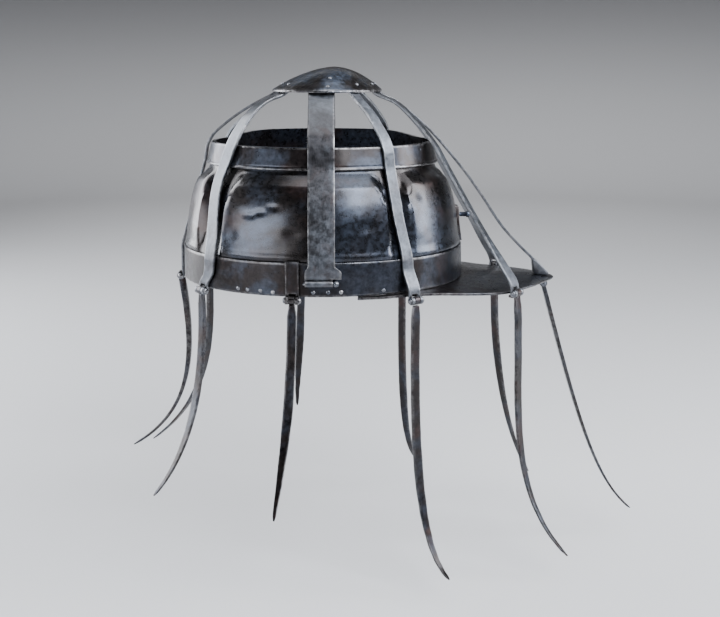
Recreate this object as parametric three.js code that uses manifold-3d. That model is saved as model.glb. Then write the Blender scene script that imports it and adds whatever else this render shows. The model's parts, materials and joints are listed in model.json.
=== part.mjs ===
// Caged iron helmet with ten hinged guard bars, in millimetres, +Z up, +X towards the peak.
// The origin is the centre of the brow band's lower edge, where the helmet sits on a head.
// An open-topped skull stands between a brow band and a rim band. Ten bars rise over it to a
// crown disc, and ten curved legs hang on pins at their feet.

import * as THREE from 'three';
import { mergeVertices } from 'three/addons/utils/BufferGeometryUtils.js';
import Module from 'manifold-3d';

const wasm = await Module();
wasm.setup();

// ---------------------------------------------------------------- driving dimensions

const GAP = 0.3; // air between pieces that touch

// Plan of the head rings: ellipses, long from front to back.
const BAND_HALF_LENGTH = 116;
const BAND_HALF_WIDTH = 100.5;
const ROUNDNESS = BAND_HALF_WIDTH / BAND_HALF_LENGTH;
const RING_STEPS = 60;

// Outside of the rings, as height and half length, from the brow band up to the rim band.
const BAND_HEIGHT = 26;
const RIM_BOTTOM = 93;
const RIM_TOP = 110;
const BAND_TOP_HALF_LENGTH = 115.3;
const RIM_BOTTOM_HALF_LENGTH = 94.9;
const RIM_TOP_HALF_LENGTH = 90.7;
const BAND_THICKNESS = 2;
const RIM_THICKNESS = 1.8;
const RIM_BEAD = 0.8; // how far the bead at the rim band's foot stands proud
const FAR_RIM_RISE = 4.5; // the far side of the rim is hammered a little higher

// Skull wall and its raised panels.
const SKULL_THICKNESS = 1.6;
const PANEL_RISE = 4.5;
const PANEL_BULGE = 2.3; // the panels stand out further in their upper half
const PANEL_BLEND = 7; // width of the slope beside a groove
const PANEL_FOOT_BLEND = 5;
const PANEL_TOP_BLEND = 12;
const WALL_INSET = 1.7; // the wall lies this far inside a straight line between the bands
const PANEL_BOTTOM = 27;
const PANEL_TOP = 92;

// Crown disc.
const CROWN_X = 4; // the cage's axis, a little forward of the rings' centre
const CROWN_RADIUS = 44.5;
const CROWN_EDGE_HEIGHT = 151;
const CROWN_RISE = 18;
const CROWN_POWER = 1.8; // roundness of the dome
const CROWN_LEAN = 6; // the top of the dome stands this far forward
const CROWN_THICKNESS = 1.7;
const CROWN_STEPS = 30;

// Bars.
const BAR_THICKNESS = 2.2;
const BAR_WIDTH = 8.8;
const BAR_FOOT_WIDTH = 10.6;
const BAR_TOP_RADIUS = 34; // where a bar ends under the crown disc
const SIDE_BAR_WIDTH = 20.4;
const BAR_STEPS = 20;

// Hinges.
const BARREL_RADIUS = 3.2;
const PIN_RADIUS = 1.3;
const PIN_HEAD_RADIUS = 2.3;
const PIN_HEAD_LENGTH = 1.6;
const HINGE_STEPS = 12;
const HINGE_STAND = 3.65; // from the brow band's face out to a pin
const HINGE_DROP = 2; // from the brow band's lower edge down to a pin
const LEG_EYE_WIDTH = 4.8;
const SLOT_ABOVE_PIVOT = 5;
const SIDE_HINGE_WIDTH = 10.6;
const SIDE_HINGE_TOP = 27.5;
const HEEL_LENGTH = 6.4; // a leg's heel reaches inwards and bears on the edge above it
const HEEL_DEPTH = 2.4;

// Legs.
const LEG_TOP_WIDTH = 6.8;
const LEG_MID_WIDTH = 7.6;
const LEG_TIP_WIDTH = 2.2;
const LEG_TOP_THICKNESS = 3.6;
const LEG_TIP_THICKNESS = 1.6;
const LEG_SIDES = 6;
const LEG_STEPS = 14;

// Peak.
const PEAK_THICKNESS = 1.8;
const PEAK_SLOPE = 0.035; // fall for each millimetre out from the brow band
const PEAK_RIDGE_SLOPE = 0.07; // extra fall for each millimetre to either side of the ridge
const PEAK_TIP_DROOP = 1;
const PEAK_INNER_HALF_LENGTH = 113;
const PEAK_RIM_STEPS = 40;
const PEAK_DEPTH_STEPS = 3;
// Near half of the rim in plan, from where it leaves the brow band to the tip.
const PEAK_OUTLINE = [
  [27, -100], [48, -95], [68.5, -86.5], [91, -78.5], [110, -73], [131, -65.5],
  [150.5, -56], [163, -44.5], [176, -31], [187, -15.5], [193, -6], [194.5, 0],
];

// ---------------------------------------------------------------- stations round the rim

// Each station has a pin that carries one leg. A foot on the brow band is set by its angle round
// the ring; the others by the pin's middle and the way the leg swings. `leg` lists the two bend
// points and the tip below the pin, each as [outwards, sideways, down]. Every leg was bent by
// hand, so no two are alike. `sweep` lists how far a bar wanders sideways, as [height, degrees
// round the cage], and is 0 at the foot. A `round` bar leaves the crown disc more level.
const STATIONS = [
  { name: 'rear', foot: 'band', around: 180, thick: 5.6,
    leg: [[-11, 0, 72], [-4, 0, 122], [47, 0, 151]] },
  { name: 'rear_side_near', foot: 'band', around: -142.8, width: 12, round: true,
    sweep: [[1, 0], [14, 3.6], [25, 4.2], [80, -1.3], [114, 3.5], [150, 0]],
    leg: [[-1, 0, 76], [16, 0, 132], [51, -1, 159]] },
  { name: 'rear_side_far', foot: 'band', around: 149.5,
    leg: [[-3, 0, 81], [7, 0, 129], [72, 5, 178]] },
  { name: 'front_side_near', foot: 'brim', pivot: [72, -90.8, -5], swing: -57,
    sweep: [[-5, 0], [8, 0], [30, -0.9], [60, -2], [110, -2.4], [130, -3.4], [150, -6.5]],
    leg: [[-3, 0, 140], [13, 0, 203], [47, 0, 213]] },
  { name: 'front_side_far', foot: 'brim', pivot: [72, 90.8, -5], swing: 57,
    leg: [[-2, 0, 140], [6, 0, 200], [44, 0, 214]] },
  { name: 'peak_side_near', foot: 'peak', pivot: [154.4, -60, -6], swing: -42,
    leg: [[8, 1, 69], [-9, 0, 169], [54, 4, 211]] },
  { name: 'peak_side_far', foot: 'peak', pivot: [154.4, 60, -6], swing: 42,
    leg: [[-5, 0, 53], [10, -1, 151], [53, -4, 211]] },
  { name: 'peak_tip', foot: 'tip', pivot: [186, 0, -10], swing: 0,
    leg: [[35, 0, 123], [54, 0, 180], [86, 0, 206]] },
];

// The two side legs hang on plates of their own beside the wide bars.
const SIDE_STATIONS = [
  { name: 'side_near', side: -1, foot: 'plate', around: -100.9,
    leg: [[5, 0, 85], [33, -3, 123], [57, -4, 154]] },
  { name: 'side_far', side: 1, foot: 'plate', around: 100.9,
    leg: [[-1, 0, 88], [32, 2, 135], [26, 2, 158]] },
];

// ---------------------------------------------------------------- finishes

const FINISHES = {
  dark: { color: 0x26282c, roughness: 0.42, metalness: 1 },
  plate: { color: 0x1d1f24, roughness: 0.3, metalness: 1 },
  brushed: { color: 0x5a5a60, roughness: 0.38, metalness: 1 },
  leg: { color: 0x33312f, roughness: 0.4, metalness: 1 },
  bright: { color: 0xa9a9a6, roughness: 0.28, metalness: 1 },
};

// ---------------------------------------------------------------- small helpers

const UP = new THREE.Vector3(0, 0, 1);
const STRAIGHT = [[0, 0]]; // the sweep of a bar that doesn't wander
const radians = THREE.MathUtils.degToRad;
const smooth = (x, from, to) => THREE.MathUtils.smoothstep(x, from, to);

// A closed geometry with shared corners, as a solid to join or cut.
function solidOf(geometry) {
  const bare = geometry.clone();
  bare.deleteAttribute('normal');
  bare.deleteAttribute('uv');
  const merged = mergeVertices(bare, 1e-4);
  return new wasm.Manifold(new wasm.Mesh({
    numProp: 3,
    vertProperties: new Float32Array(merged.attributes.position.array),
    triVerts: new Uint32Array(merged.index.array),
  }));
}

function geometryOf(solid) {
  const mesh = solid.getMesh();
  const geometry = new THREE.BufferGeometry();
  geometry.setAttribute('position', new THREE.BufferAttribute(mesh.vertProperties, 3));
  geometry.setIndex(new THREE.BufferAttribute(mesh.triVerts, 1));
  geometry.computeVertexNormals();
  return geometry;
}

// Moves every corner of a geometry through `move`, a function of a Vector3.
function reshape(geometry, move) {
  const position = geometry.attributes.position;
  const corner = new THREE.Vector3();
  for (let i = 0; i < position.count; i += 1) {
    corner.fromBufferAttribute(position, i);
    move(corner);
    position.setXYZ(i, corner.x, corner.y, corner.z);
  }
  geometry.computeVertexNormals();
  return geometry;
}

// A ring round the head from a closed outline of [half length, height] points.
function headRing(outline) {
  const profile = [...outline, outline[0]].map(([r, z]) => new THREE.Vector2(r, z));
  const ring = new THREE.LatheGeometry(profile, RING_STEPS);
  ring.rotateX(Math.PI / 2);
  ring.scale(1, ROUNDNESS, 1);
  return ring;
}

// Half length of the outside of the rings at a height.
function ringHalfLength(z) {
  if (z <= BAND_HEIGHT) {
    return THREE.MathUtils.mapLinear(z, 0, BAND_HEIGHT, BAND_HALF_LENGTH, BAND_TOP_HALF_LENGTH);
  }
  if (z <= RIM_BOTTOM) {
    return THREE.MathUtils.mapLinear(
      z, BAND_HEIGHT, RIM_BOTTOM, BAND_TOP_HALF_LENGTH, RIM_BOTTOM_HALF_LENGTH);
  }
  return THREE.MathUtils.mapLinear(
    z, RIM_BOTTOM, RIM_TOP, RIM_BOTTOM_HALF_LENGTH, RIM_TOP_HALF_LENGTH);
}

// Distance from the cage's axis out to an ellipse of that half length, along an angle.
function reach(angle, halfLength) {
  const along = Math.cos(angle) / halfLength;
  const across = Math.sin(angle) / (halfLength * ROUNDNESS);
  const start = CROWN_X / halfLength;
  const a = along * along + across * across;
  const b = 2 * start * along;
  return (-b + Math.sqrt(b * b - 4 * a * (start * start - 1))) / (2 * a);
}

// Angle of the outward normal of the rings, in plan, where an angle from the centre meets them.
function ringNormal(angle) {
  return Math.atan2(Math.sin(angle) / ROUNDNESS ** 2, Math.cos(angle));
}

// A bar along a centre line in the radial plane. Its width, the turn of its section about the
// upright and its sweep round the cage all follow its height.
function strip(centreLine, widthAt, turnAt = () => 0, sweep = STRAIGHT) {
  const curve = new THREE.SplineCurve(centreLine.map(([r, z]) => new THREE.Vector2(r, z)));
  const bar = new THREE.BoxGeometry(1, 1, 1, 1, 1, BAR_STEPS);
  return reshape(bar, (corner) => {
    const along = 0.5 - corner.z;
    const middle = curve.getPointAt(along);
    const tangent = curve.getTangentAt(along);
    const deep = corner.x * BAR_THICKNESS;
    const across = corner.y * widthAt(middle.y);
    const turn = turnAt(middle.y);
    const out = -tangent.y * deep;
    corner.x = middle.x + out * Math.cos(turn) - across * Math.sin(turn);
    corner.y = out * Math.sin(turn) + across * Math.cos(turn);
    corner.z = middle.y + tangent.x * deep;
    corner.applyAxisAngle(UP, sweepAt(sweep, middle.y));
  });
}

// A round rod across the radial plane, centred on [r, z].
function rod([r, z], radius, length, steps = HINGE_STEPS) {
  return new THREE.CylinderGeometry(radius, radius, length, steps).translate(r, 0, z);
}

function block([r, z], sizeR, sizeY, sizeZ) {
  return new THREE.BoxGeometry(sizeR, sizeY, sizeZ).translate(r, 0, z);
}

// Turns a piece made in the XZ plane to face `angle` and sets it down at a point in plan.
function place(geometry, angle, x = CROWN_X, y = 0) {
  return geometry.rotateZ(angle).translate(x, y, 0);
}

// ---------------------------------------------------------------- rings, skull and crown

function browBand() {
  const top = BAND_TOP_HALF_LENGTH;
  return headRing([
    [BAND_HALF_LENGTH - BAND_THICKNESS, 0],
    [BAND_HALF_LENGTH, 0],
    [top, BAND_HEIGHT - 1],
    [top - 0.8, BAND_HEIGHT],
    [top - BAND_THICKNESS, BAND_HEIGHT],
  ]);
}

// Lifts the rim on the far side, most over the middle and only near the top.
function liftFarRim(corner) {
  const share = smooth(corner.z, RIM_BOTTOM + 3, RIM_TOP) * smooth(corner.y, 30, 66);
  corner.z += FAR_RIM_RISE * share;
}

function rimBand() {
  const faceBottom = RIM_BOTTOM_HALF_LENGTH - RIM_BEAD;
  return reshape(headRing([
    [faceBottom - RIM_THICKNESS, RIM_BOTTOM],
    [RIM_BOTTOM_HALF_LENGTH - 0.4, RIM_BOTTOM],
    [RIM_BOTTOM_HALF_LENGTH, RIM_BOTTOM + 1],
    [faceBottom, RIM_BOTTOM + 2.4],
    [RIM_TOP_HALF_LENGTH, RIM_TOP],
    [RIM_TOP_HALF_LENGTH - RIM_THICKNESS, RIM_TOP],
  ]), liftFarRim);
}

// Angles, in the ellipse's own parameter, of the flat grooves between the skull's panels. The
// wide side bars stand over the middle of a panel.
const GROOVES = [
  { angle: 180, half: 8 }, { angle: -141.2, half: 13 }, { angle: 149, half: 8 },
  { angle: -58, half: 7.5 }, { angle: 55, half: 8 }, { angle: 0, half: 9 },
];

// How far a panel stands out at a height.
function panelRise(z) {
  const upright = smooth(z, PANEL_BOTTOM, PANEL_BOTTOM + PANEL_FOOT_BLEND)
    * (1 - smooth(z, PANEL_TOP - PANEL_TOP_BLEND, PANEL_TOP));
  return (PANEL_RISE + PANEL_BULGE * smooth(z, 38, 70)) * upright;
}

// 1 on a panel, 0 in a groove, with a slope between.
function panelShare(x, y) {
  const turn = Math.atan2(y / ROUNDNESS, x);
  return GROOVES.reduce((share, { angle, half }) => {
    const off = turn - radians(angle);
    const away = Math.abs(Math.atan2(Math.sin(off), Math.cos(off))) * BAND_HALF_WIDTH;
    return share * smooth(away, half, half + PANEL_BLEND);
  }, 1);
}

function skull() {
  const outside = [
    [BAND_HALF_LENGTH - BAND_THICKNESS - 0.4, 0],
    [BAND_TOP_HALF_LENGTH - BAND_THICKNESS - 0.5, BAND_HEIGHT],
    [110, 35], [104.5, 56], [99.6, 72], [95.3, 84],
    [RIM_BOTTOM_HALF_LENGTH - RIM_BEAD - RIM_THICKNESS - 0.5, RIM_BOTTOM],
    [RIM_TOP_HALF_LENGTH - RIM_THICKNESS - 0.4, RIM_TOP],
  ];
  const inside = outside.map(([r, z]) => [r - SKULL_THICKNESS, z]).reverse();
  return reshape(headRing([...outside, ...inside]), (corner) => {
    const bulge = panelRise(corner.z) * panelShare(corner.x, corner.y);
    const radius = Math.hypot(corner.x, corner.y);
    corner.x *= 1 + bulge / radius;
    corner.y *= 1 + bulge / radius;
    liftFarRim(corner);
  });
}

// Height of the crown disc's upper face at a distance from the cage's axis. The dome leans
// forward, so it stands lower behind the axis than in front of it.
function crownHeight(radius, angle = Math.PI / 2) {
  const share = Math.min(radius / CROWN_RADIUS, 1);
  const slid = (radius - crownLean(share) * Math.cos(angle)) / CROWN_RADIUS;
  return CROWN_EDGE_HEIGHT + CROWN_RISE * (1 - Math.min(Math.abs(slid), 1) ** CROWN_POWER);
}

function crownLean(share) {
  return CROWN_LEAN * (1 - share ** 1.5);
}

function crownDisc() {
  const upper = [0, 10, 20, 29, 37, CROWN_RADIUS].map((r) => new THREE.Vector2(r, crownHeight(r)));
  const lower = upper.map(({ x, y }) => new THREE.Vector2(x, y - CROWN_THICKNESS));
  const disc = new THREE.LatheGeometry([...lower, ...upper.reverse()], CROWN_STEPS);
  disc.rotateX(Math.PI / 2);
  reshape(disc, (corner) => {
    corner.x += crownLean(Math.min(Math.hypot(corner.x, corner.y) / CROWN_RADIUS, 1));
  });
  return disc.translate(CROWN_X, 0, 0);
}

// ---------------------------------------------------------------- peak

// How far the peak's upper face lies below its inner edge.
function peakFall(x, y) {
  const angle = Math.atan2(y, x);
  const edge = 1 / Math.hypot(Math.cos(angle) / BAND_HALF_LENGTH, Math.sin(angle) / BAND_HALF_WIDTH);
  const out = Math.max(Math.hypot(x, y) - edge, 0);
  const beside = Math.max(Math.abs(y) - 6, 0) * Math.min(out / 40, 1);
  return PEAK_SLOPE * out + PEAK_RIDGE_SLOPE * beside + PEAK_TIP_DROOP * smooth(x, 178, 195);
}

// A crescent sheet from under the brow band to the rim, ridged along its middle.
function peak() {
  const nearHalf = PEAK_OUTLINE.map(([x, y]) => new THREE.Vector2(x, y));
  const farHalf = PEAK_OUTLINE.slice(0, -1).map(([x, y]) => new THREE.Vector2(x, -y)).reverse();
  const rim = new THREE.SplineCurve([...nearHalf, ...farHalf]);
  const sheet = new THREE.BoxGeometry(1, 1, 1, PEAK_RIM_STEPS, PEAK_DEPTH_STEPS, 1);
  return reshape(sheet, (corner) => {
    const outer = rim.getPointAt(corner.x + 0.5);
    const turn = radians(THREE.MathUtils.lerp(-76, 76, corner.x + 0.5));
    const inner = new THREE.Vector2(Math.cos(turn), ROUNDNESS * Math.sin(turn));
    inner.multiplyScalar(PEAK_INNER_HALF_LENGTH);
    const point = outer.lerp(inner, corner.y + 0.5);
    const layer = (corner.z - 0.5) * PEAK_THICKNESS;
    corner.set(point.x, point.y, layer - GAP - peakFall(point.x, point.y));
  });
}

// ---------------------------------------------------------------- bars

// Centre line of a bar under the crown disc, out to the disc's edge.
function underCrown(angle, clearance) {
  const below = CROWN_THICKNESS + GAP + BAR_THICKNESS / 2 + clearance;
  return [BAR_TOP_RADIUS, 39.5, CROWN_RADIUS].map((r) => [r, crownHeight(r, angle) - below]);
}

// How far a bar has wandered round the cage at a height, in radians.
function sweepAt(sweep, z) {
  const next = sweep.findIndex(([height]) => height >= z);
  if (next < 1) {
    return radians(next === 0 ? sweep[0][1] : sweep[sweep.length - 1][1]);
  }
  const [[low, from], [high, to]] = sweep.slice(next - 1, next + 1);
  return radians(THREE.MathUtils.mapLinear(smooth(z, low, high), 0, 1, from, to));
}

// Centre line from the crown disc's edge down over the rim band and on to the brow band.
function overSkull(angle, clearance, { sweep = STRAIGHT, round, overPanel } = {}) {
  const stand = GAP + BAR_THICKNESS / 2 + 0.4;
  const top = underCrown(angle, clearance);
  const [edgeRadius, edgeHeight] = top[top.length - 1];
  const rim = new THREE.Vector3(0, Math.sin(angle) * RIM_TOP_HALF_LENGTH * ROUNDNESS + 7, RIM_TOP);
  liftFarRim(rim);
  const lift = rim.z - RIM_TOP;
  const rimAngle = angle + sweepAt(sweep, RIM_TOP);
  const rimRadius = reach(rimAngle, RIM_TOP_HALF_LENGTH) + stand + 0.5;
  const shoulder = [0.2, 0.4, 0.6, 0.8, 0.93].map((share) => [
    THREE.MathUtils.lerp(edgeRadius, rimRadius, share),
    THREE.MathUtils.lerp(edgeHeight, rim.z + 1,
      round ? 0.3 * share + 0.7 * share ** 2.4 : 0.72 * share + 0.28 * share ** 3),
  ]);
  const wall = [RIM_TOP - 3, RIM_TOP - 9, RIM_BOTTOM, 75, 58, 42, BAND_HEIGHT, 18, 10].map((z) => [
    reach(angle + sweepAt(sweep, z), ringHalfLength(z)) + stand + 0.7 * smooth(z, 94, 106)
      + (overPanel ? Math.max(panelRise(z) - WALL_INSET, 0) : 0),
    z + lift * smooth(z, RIM_BOTTOM, RIM_TOP)]);
  return [...top, ...shoulder, ...wall];
}

// Centre line of a narrow bar down to its pin.
function barLine(station, angle) {
  const { foot, pivot } = station;
  const footRadius = Math.hypot(pivot.x - CROWN_X, pivot.y) - BARREL_RADIUS + BAR_THICKNESS / 2;
  if (foot === 'band') {
    return [...overSkull(angle, 0.9, station), [footRadius, 4], [footRadius, pivot.z]];
  }
  if (foot === 'brim') {
    const wall = overSkull(angle, 0.9, station).slice(0, -1);
    return [...wall, [footRadius - 3.4, 9.5], [footRadius - 0.8, 4.5], [footRadius, 0.5],
      [footRadius, pivot.z]];
  }
  if (foot === 'peak') {
    return [...underCrown(angle, 0.8), [63.5, 138.5], [89, 113], [106.5, 85], [123.5, 57],
      [140, 31], [150.5, 15], [footRadius - 2.6, 5], [footRadius, -1.5], [footRadius, pivot.z]];
  }
  return [...underCrown(angle, 0.8), [59.4, 139], [84.3, 118], [109.6, 89.2], [127, 65.8],
    [144.2, 40.5], [158, 25], [173, 10.4]];
}

// Finishes a fork at the origin: the slot that a leg's eye turns in, the hole for its pin, and
// flat cheeks for the pin's heads.
function cutFork(solid, width) {
  const slotHeight = BARREL_RADIUS + 1 + SLOT_ABOVE_PIVOT;
  const slotMiddle = SLOT_ABOVE_PIVOT - slotHeight / 2;
  const slot = block([0, slotMiddle], 16, LEG_EYE_WIDTH + 2 * GAP, slotHeight);
  const hole = rod([0, 0], PIN_RADIUS + GAP, width + 4);
  const cheeks = [1, -1].map((side) =>
    block([0, 0], 12, 6, 10).translate(0, side * (width / 2 + 3), 0));
  return [slot, hole, ...cheeks].reduce((rest, cutter) => rest.subtract(solidOf(cutter)), solid);
}

// A narrow bar turns with its height, from square to the cage at the top to square to the leg's
// swing at its foot. It is made in the radial plane and ends with its pin at the origin.
function narrowBar(station, angle) {
  const { foot, pivot, swing, sweep, width = BAR_WIDTH } = station;
  const ringTurn = foot === 'peak' ? 0 : ringNormal(angle) - angle;
  const widthAt = (z) => THREE.MathUtils.lerp(
    width - 1.2 * smooth(z, 110, 150), BAR_FOOT_WIDTH, smooth(-z, -40, -6));
  const turnAt = (z) => THREE.MathUtils.lerp(
    ringTurn * smooth(-z, -CROWN_EDGE_HEIGHT, -RIM_TOP), swing - angle, smooth(-z, -45, -8));
  const flat = strip(barLine(station, angle), widthAt, turnAt, sweep);
  if (foot === 'tip') {
    return geometryOf(solidOf(flat).add(solidOf(tipWedge()))).translate(CROWN_X, 0, 0);
  }
  place(flat, angle).translate(-pivot.x, -pivot.y, -pivot.z).rotateZ(-swing);
  const barrel = rod([0, 0], BARREL_RADIUS, BAR_FOOT_WIDTH);
  const fork = cutFork(solidOf(flat).add(solidOf(barrel)), BAR_FOOT_WIDTH);
  return atPin(geometryOf(fork), station);
}

// The wedge that stands the tip bar on the ridge of the peak.
function tipWedge() {
  const outline = [[173.6, -1.7], [185.2, -3.1], [186.4, -1.2], [174.6, 10.6], [171.5, 10.6]];
  const wedge = new THREE.ExtrudeGeometry(
    new THREE.Shape(outline.map(([r, z]) => new THREE.Vector2(r, z))),
    { depth: BAR_FOOT_WIDTH - 1, bevelEnabled: false });
  return wedge.translate(0, 0, (1 - BAR_FOOT_WIDTH) / 2).rotateX(Math.PI / 2);
}

// The fork under the tip of the peak that carries the tip leg.
function tipHinge(station) {
  const tab = block([-3.6, BARREL_RADIUS - 1], 13, BAR_FOOT_WIDTH, 2);
  const barrel = rod([0, 0], BARREL_RADIUS, BAR_FOOT_WIDTH);
  return atPin(geometryOf(cutFork(solidOf(tab).add(solidOf(barrel)), BAR_FOOT_WIDTH)), station);
}

// ---------------------------------------------------------------- wide side bars

const SIDE_FOOT_TOP = 24;
const SIDE_FOOT_WIDENING = [2.6, 5]; // towards the rear and towards the peak
const SIDE_ROLL_SPAN = [-13.4, 8.4]; // the roll stops short of the foot's end at the peak side
const SIDE_ROLL_RADIUS = 2.3;
const SIDE_ROLL_HEIGHT = 10.6;
const SIDE_PIN_RADIUS = 1;
const SIDE_ANGLE = Math.PI / 2;

// The rolled foot's axis, as [distance from the rings' middle, height], beside the brow band.
const SIDE_ROLL = [
  ringHalfLength(SIDE_ROLL_HEIGHT) * ROUNDNESS + GAP + SIDE_ROLL_RADIUS + 0.1, SIDE_ROLL_HEIGHT];

// A wide bar on the side given by the sign of y. Its foot is wider than the bar, most towards
// the peak, and is rolled round a side pin. Its end beyond the roll is cut short.
function sideBar(side) {
  const line = overSkull(SIDE_ANGLE, 2.6, { overPanel: true }).slice(0, -1);
  const footRadius = SIDE_ROLL[0] - SIDE_ROLL_RADIUS + BAR_THICKNESS / 2;
  const flat = strip([...line, [footRadius, SIDE_ROLL_HEIGHT]], () => SIDE_BAR_WIDTH);
  reshape(flat, (corner) => {
    const share = smooth(SIDE_FOOT_TOP - corner.z, 0, 5);
    const peakward = corner.y * side < 0;
    corner.y += (peakward ? -side : side) * SIDE_FOOT_WIDENING[peakward ? 1 : 0] * share;
  });
  const [rearEnd, peakEnd] = SIDE_ROLL_SPAN;
  const shift = -side * (rearEnd + peakEnd) / 2;
  const roll = rod(SIDE_ROLL, SIDE_ROLL_RADIUS, peakEnd - rearEnd).translate(0, shift, 0);
  const hole = rod(SIDE_ROLL, SIDE_PIN_RADIUS + GAP, 60);
  const beyond = block([SIDE_ROLL[0], SIDE_ROLL_HEIGHT - 3.3], 12, 12, 13.2)
    .translate(0, -side * (peakEnd + 6), 0);
  const bar = [hole, beyond].reduce(
    (rest, cutter) => rest.subtract(solidOf(cutter)), solidOf(flat).add(solidOf(roll)));
  return place(geometryOf(bar), side * SIDE_ANGLE, 0);
}

function sidePin(side) {
  const [rearEnd, peakEnd] = SIDE_ROLL_SPAN;
  const length = peakEnd - rearEnd + 1.5;
  const middle = -side * (rearEnd + peakEnd) / 2;
  const shaft = rod(SIDE_ROLL, SIDE_PIN_RADIUS, length).translate(0, middle, 0);
  const knob = new THREE.SphereGeometry(2.4, 10, 6)
    .translate(SIDE_ROLL[0], middle - side * (length / 2 + 1.6), SIDE_ROLL_HEIGHT);
  return place(geometryOf(solidOf(shaft).add(solidOf(knob))), side * SIDE_ANGLE, 0);
}

// ---------------------------------------------------------------- hinge plates, pins and legs

// Sets a piece made round the origin on its station's pin, facing the way the leg swings.
function atPin(geometry, { pivot, swing }) {
  return geometry.rotateZ(swing).translate(pivot.x, pivot.y, pivot.z);
}

// A station with its pin's middle and its swing worked out.
function withPin(station) {
  if (station.pivot) {
    return { ...station, pivot: new THREE.Vector3(...station.pivot), swing: radians(station.swing) };
  }
  const around = radians(station.around);
  const foot = new THREE.Vector3(
    BAND_HALF_LENGTH * Math.cos(around), BAND_HALF_WIDTH * Math.sin(around), -HINGE_DROP);
  const swing = ringNormal(Math.atan2(foot.y, foot.x));
  foot.x += HINGE_STAND * Math.cos(swing);
  foot.y += HINGE_STAND * Math.sin(swing);
  return { ...station, pivot: foot, swing };
}

function sideHinge(station) {
  const inset = BARREL_RADIUS - BAR_THICKNESS / 2;
  const height = SIDE_HINGE_TOP + HINGE_DROP;
  const plate = block([-inset, height / 2], BAR_THICKNESS, SIDE_HINGE_WIDTH, height);
  const barrel = rod([0, 0], BARREL_RADIUS, SIDE_HINGE_WIDTH);
  const fork = cutFork(solidOf(plate).add(solidOf(barrel)), SIDE_HINGE_WIDTH);
  return atPin(geometryOf(fork), station);
}

function hingePin(station, footWidth) {
  const length = footWidth + 2 * GAP;
  const heads = [1, -1].map((side) => {
    const narrow = PIN_HEAD_RADIUS * 0.6;
    const [front, back] = side > 0 ? [narrow, PIN_HEAD_RADIUS] : [PIN_HEAD_RADIUS, narrow];
    const head = new THREE.CylinderGeometry(front, back, PIN_HEAD_LENGTH, 10);
    return solidOf(head.translate(0, side * (length + PIN_HEAD_LENGTH) / 2, 0));
  });
  const shaft = solidOf(rod([0, 0], PIN_RADIUS, length + 1, 10));
  return atPin(geometryOf(shaft.add(heads[0]).add(heads[1])), station);
}

// Height above the pin at which the band or the peak stops a leg's heel.
function heelTop({ foot, pivot, swing }) {
  if (foot === 'band' || foot === 'plate') {
    return HINGE_DROP - GAP;
  }
  const inset = foot === 'tip' ? 0 : 2;
  const x = pivot.x - inset * Math.cos(swing);
  const y = pivot.y - inset * Math.sin(swing);
  return -PEAK_THICKNESS - peakFall(x, y) - 3 * GAP - pivot.z;
}

// A leg hangs from its eye and is bent along a curve, broad in the middle and fine at the tip.
function leg(station) {
  const topThickness = station.thick ?? LEG_TOP_THICKNESS;
  const points = [[0, 0, 0], ...station.leg].map(([out, side, down]) =>
    new THREE.Vector3(out, side, -down));
  const curve = new THREE.CubicBezierCurve3(...points);
  const bar = new THREE.CylinderGeometry(1, 1, 1, LEG_SIDES, LEG_STEPS);
  reshape(bar, (corner) => {
    const along = 0.5 - corner.y;
    const tangent = curve.getTangent(along);
    const outward = new THREE.Vector3(-tangent.z, 0, tangent.x).normalize();
    const width = along < 0.4
      ? THREE.MathUtils.lerp(LEG_TOP_WIDTH, LEG_MID_WIDTH, along / 0.4)
      : THREE.MathUtils.lerp(LEG_MID_WIDTH, LEG_TIP_WIDTH, ((along - 0.4) / 0.6) ** 1.2);
    const neck = THREE.MathUtils.lerp(
      LEG_EYE_WIDTH - 0.2, 20, smooth(curve.getPoint(along).length(), 4.2, 30));
    const thickness = THREE.MathUtils.lerp(topThickness, LEG_TIP_THICKNESS, along ** 0.9);
    const across = corner.x * Math.min(width, neck) / 2;
    const deep = corner.z * thickness / 2;
    corner.copy(curve.getPoint(along)).addScaledVector(outward, deep);
    corner.y += across;
  });
  const top = heelTop(station);
  const heel = block([-HEEL_LENGTH / 2, top - HEEL_DEPTH / 2], HEEL_LENGTH, LEG_EYE_WIDTH, HEEL_DEPTH);
  const eye = rod([0, 0], BARREL_RADIUS, LEG_EYE_WIDTH);
  const hole = rod([0, 0], PIN_RADIUS + GAP, LEG_EYE_WIDTH + 4);
  const whole = solidOf(bar).add(solidOf(eye)).add(solidOf(heel)).subtract(solidOf(hole));
  return atPin(geometryOf(whole), station);
}

// ---------------------------------------------------------------- front strap and stud

const STRAP_WIDTH = 12;
const STUD_HEIGHT = 48.5;

function frontStrap() {
  const inner = [[113.5, 27.5], [110.6, 34], [108, 44], [105.8, 52], [104.2, 57.5]]
    .map(([x, z]) => new THREE.Vector2(x + 0.4, z));
  const outer = [[107, 57.5], [112.8, 55.5], [113.6, 42], [113.6, 40.5], [115.8, 27.5]]
    .map(([x, z]) => new THREE.Vector2(x, z));
  const solid = new THREE.ExtrudeGeometry(
    new THREE.Shape([...inner, ...outer]), { depth: STRAP_WIDTH, bevelEnabled: false });
  return solid.translate(0, 0, -STRAP_WIDTH / 2).rotateX(Math.PI / 2);
}

function frontStud() {
  const profile = [[0, 0], [1.9, 0], [1.9, 5.5], [2.6, 6.2], [2.6, 7.6], [1.6, 8.6], [0, 8.8]];
  const stud = new THREE.LatheGeometry(profile.map(([r, x]) => new THREE.Vector2(r, x)), 14);
  return stud.rotateZ(-Math.PI / 2).translate(114, 0, STUD_HEIGHT);
}

// ---------------------------------------------------------------- assembly

const helmet = new THREE.Group();

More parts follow.
